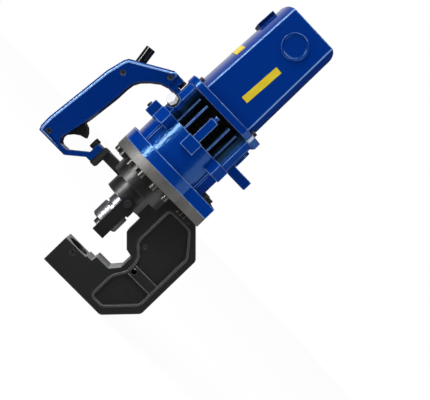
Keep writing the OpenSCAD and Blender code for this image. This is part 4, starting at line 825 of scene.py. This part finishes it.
# %% World
WHITE = (1, 1, 1, 1)
world = bpy.data.worlds.new("studio")
bpy.context.scene.world = world
world.use_nodes = True
sky = world.node_tree
sky.nodes.clear()
rays = add(sky, "ShaderNodeLightPath").outputs
heading = xyz(sky, add(sky, "ShaderNodeTexCoord").outputs["Generated"])
behind = between(sky, heading[1], 0.45, 0.97)
aside = between(sky, heading[0], -0.36, -0.02, 0.95, 0.0)
mirror_strength = maths(sky, "MULTIPLY_ADD", behind, aside, 0.015)
plain = add(sky, "ShaderNodeBackground", {"Color": WHITE, "Strength": 0.32})
shown = add(sky, "ShaderNodeBackground", {"Color": WHITE, "Strength": 1.0})
mirrored = add(sky, "ShaderNodeBackground", {"Color": WHITE, "Strength": mirror_strength})
lit = add(sky, "ShaderNodeMixShader", {0: rays["Is Glossy Ray"], 1: plain.outputs[0], 2: mirrored.outputs[0]})
seen = maths(sky, "MAXIMUM", rays["Is Camera Ray"], rays["Is Transmission Ray"])
whole = add(sky, "ShaderNodeMixShader", {0: seen, 1: lit.outputs[0], 2: shown.outputs[0]})
add(sky, "ShaderNodeOutputWorld", {"Surface": whole.outputs[0]})
bpy.context.scene.view_settings.view_transform = "Standard"
print("world:", world.name)

# %% Floor
FLOOR_REACH, FLOOR_HEIGHT = 2.4, -0.0004


def floor_points(columns=64, rows=24):
    """A flat disc just under the punch: rings whose radius grows as the square of the row's share."""
    radius = FLOOR_REACH * np.linspace(0, 1, rows) ** 2
    angle = np.linspace(0, 2 * np.pi, columns, endpoint=False)
    return np.stack([radius[:, None] * np.cos(angle), radius[:, None] * np.sin(angle),
                     np.full((rows, columns), FLOOR_HEIGHT)], -1)


floor_finish = bpy.data.materials.new("pale floor")
floor_finish.use_nodes = True
ground = floor_finish.node_tree
ground.nodes.clear()
floor_rays = add(ground, "ShaderNodeLightPath").outputs
floor_place = object_place(ground)
speck = add(ground, "ShaderNodeTexNoise", {"Vector": floor_place, "Scale": 40.0, "Detail": 3.0}).outputs["Fac"]
pale = blended(ground, speck, (0.86, 0.86, 0.86, 1), (0.9, 0.9, 0.9, 1))
matt = add(ground, "ShaderNodeBsdfDiffuse", {"Color": pale})
glow = add(ground, "ShaderNodeEmission", {"Color": WHITE, "Strength": 1.05})
direct = maths(ground, "MAXIMUM", floor_rays["Is Camera Ray"], floor_rays["Is Transmission Ray"])
lifted = add(ground, "ShaderNodeMixShader", {0: maths(ground, "MULTIPLY", direct, 0.9), 1: matt.outputs[0],
                                             2: glow.outputs[0]})
dim = add(ground, "ShaderNodeEmission", {"Color": WHITE, "Strength": 0.08})
surface = add(ground, "ShaderNodeMixShader", {0: floor_rays["Is Glossy Ray"], 1: lifted.outputs[0],
                                              2: dim.outputs[0]})
add(ground, "ShaderNodeOutputMaterial", {"Surface": surface.outputs[0]})
disc = floor_points()
floor_mesh = bpy.data.meshes.new("floor")
floor_mesh.from_pydata(disc.reshape(-1, 3).tolist(), [], grid_faces(*disc.shape[:2]).tolist())
floor_mesh.materials.append(floor_finish)
floor = bpy.data.objects.new("floor", floor_mesh)
bpy.context.scene.collection.objects.link(floor)
print("floor reach:", FLOOR_REACH)

# %% [markdown]
# A point lamp would leave a dot on every curve, but a long narrow lamp leaves a streak along it. So one soft box gives
# the even light, and two narrow strips, in front on the handle's side and above, only draw streaks and bright edges. A
# broad weak panel on the spine's side makes the pale patch on the other side of the drum.

# %% Lamps
LIT_POINT = np.array([0.0, 0.0, 0.2])


def soft_box(name, place, size, power):
    """An area lamp at place that looks at the middle of the punch, with its long side along its own x."""
    data = bpy.data.lights.new(name, "AREA")
    data.shape, data.size, data.size_y, data.energy = "RECTANGLE", size[0], size[1], power
    lamp = bpy.data.objects.new(name, data)
    bpy.context.scene.collection.objects.link(lamp)
    aim = LIT_POINT - np.array(place)
    aim /= np.linalg.norm(aim)
    side = np.cross(aim, [0.0, 1.0, 0.0])
    side /= np.linalg.norm(side)
    matrix = np.eye(4)
    matrix[:3, :] = np.column_stack([side, np.cross(side, aim), -aim, place])
    lamp.matrix_world = Matrix(matrix.tolist())
    return lamp


main = soft_box("main soft box", [-1.2, -0.45, 0.95], (0.7, 0.7), 16.0)
main.visible_glossy = False
for name, place, power in (("strip on the handle side", [-0.98, -0.69, 0.26], 14.0),
                           ("strip above", [-0.19, -0.71, 1.15], 14.0)):
    soft_box(name, place, (1.0, 0.17), power).visible_diffuse = False
soft_box("panel on the spine side", [1.13, -0.53, 0.3], (1.0, 1.0), 4.5)
print("lamps:", 4)
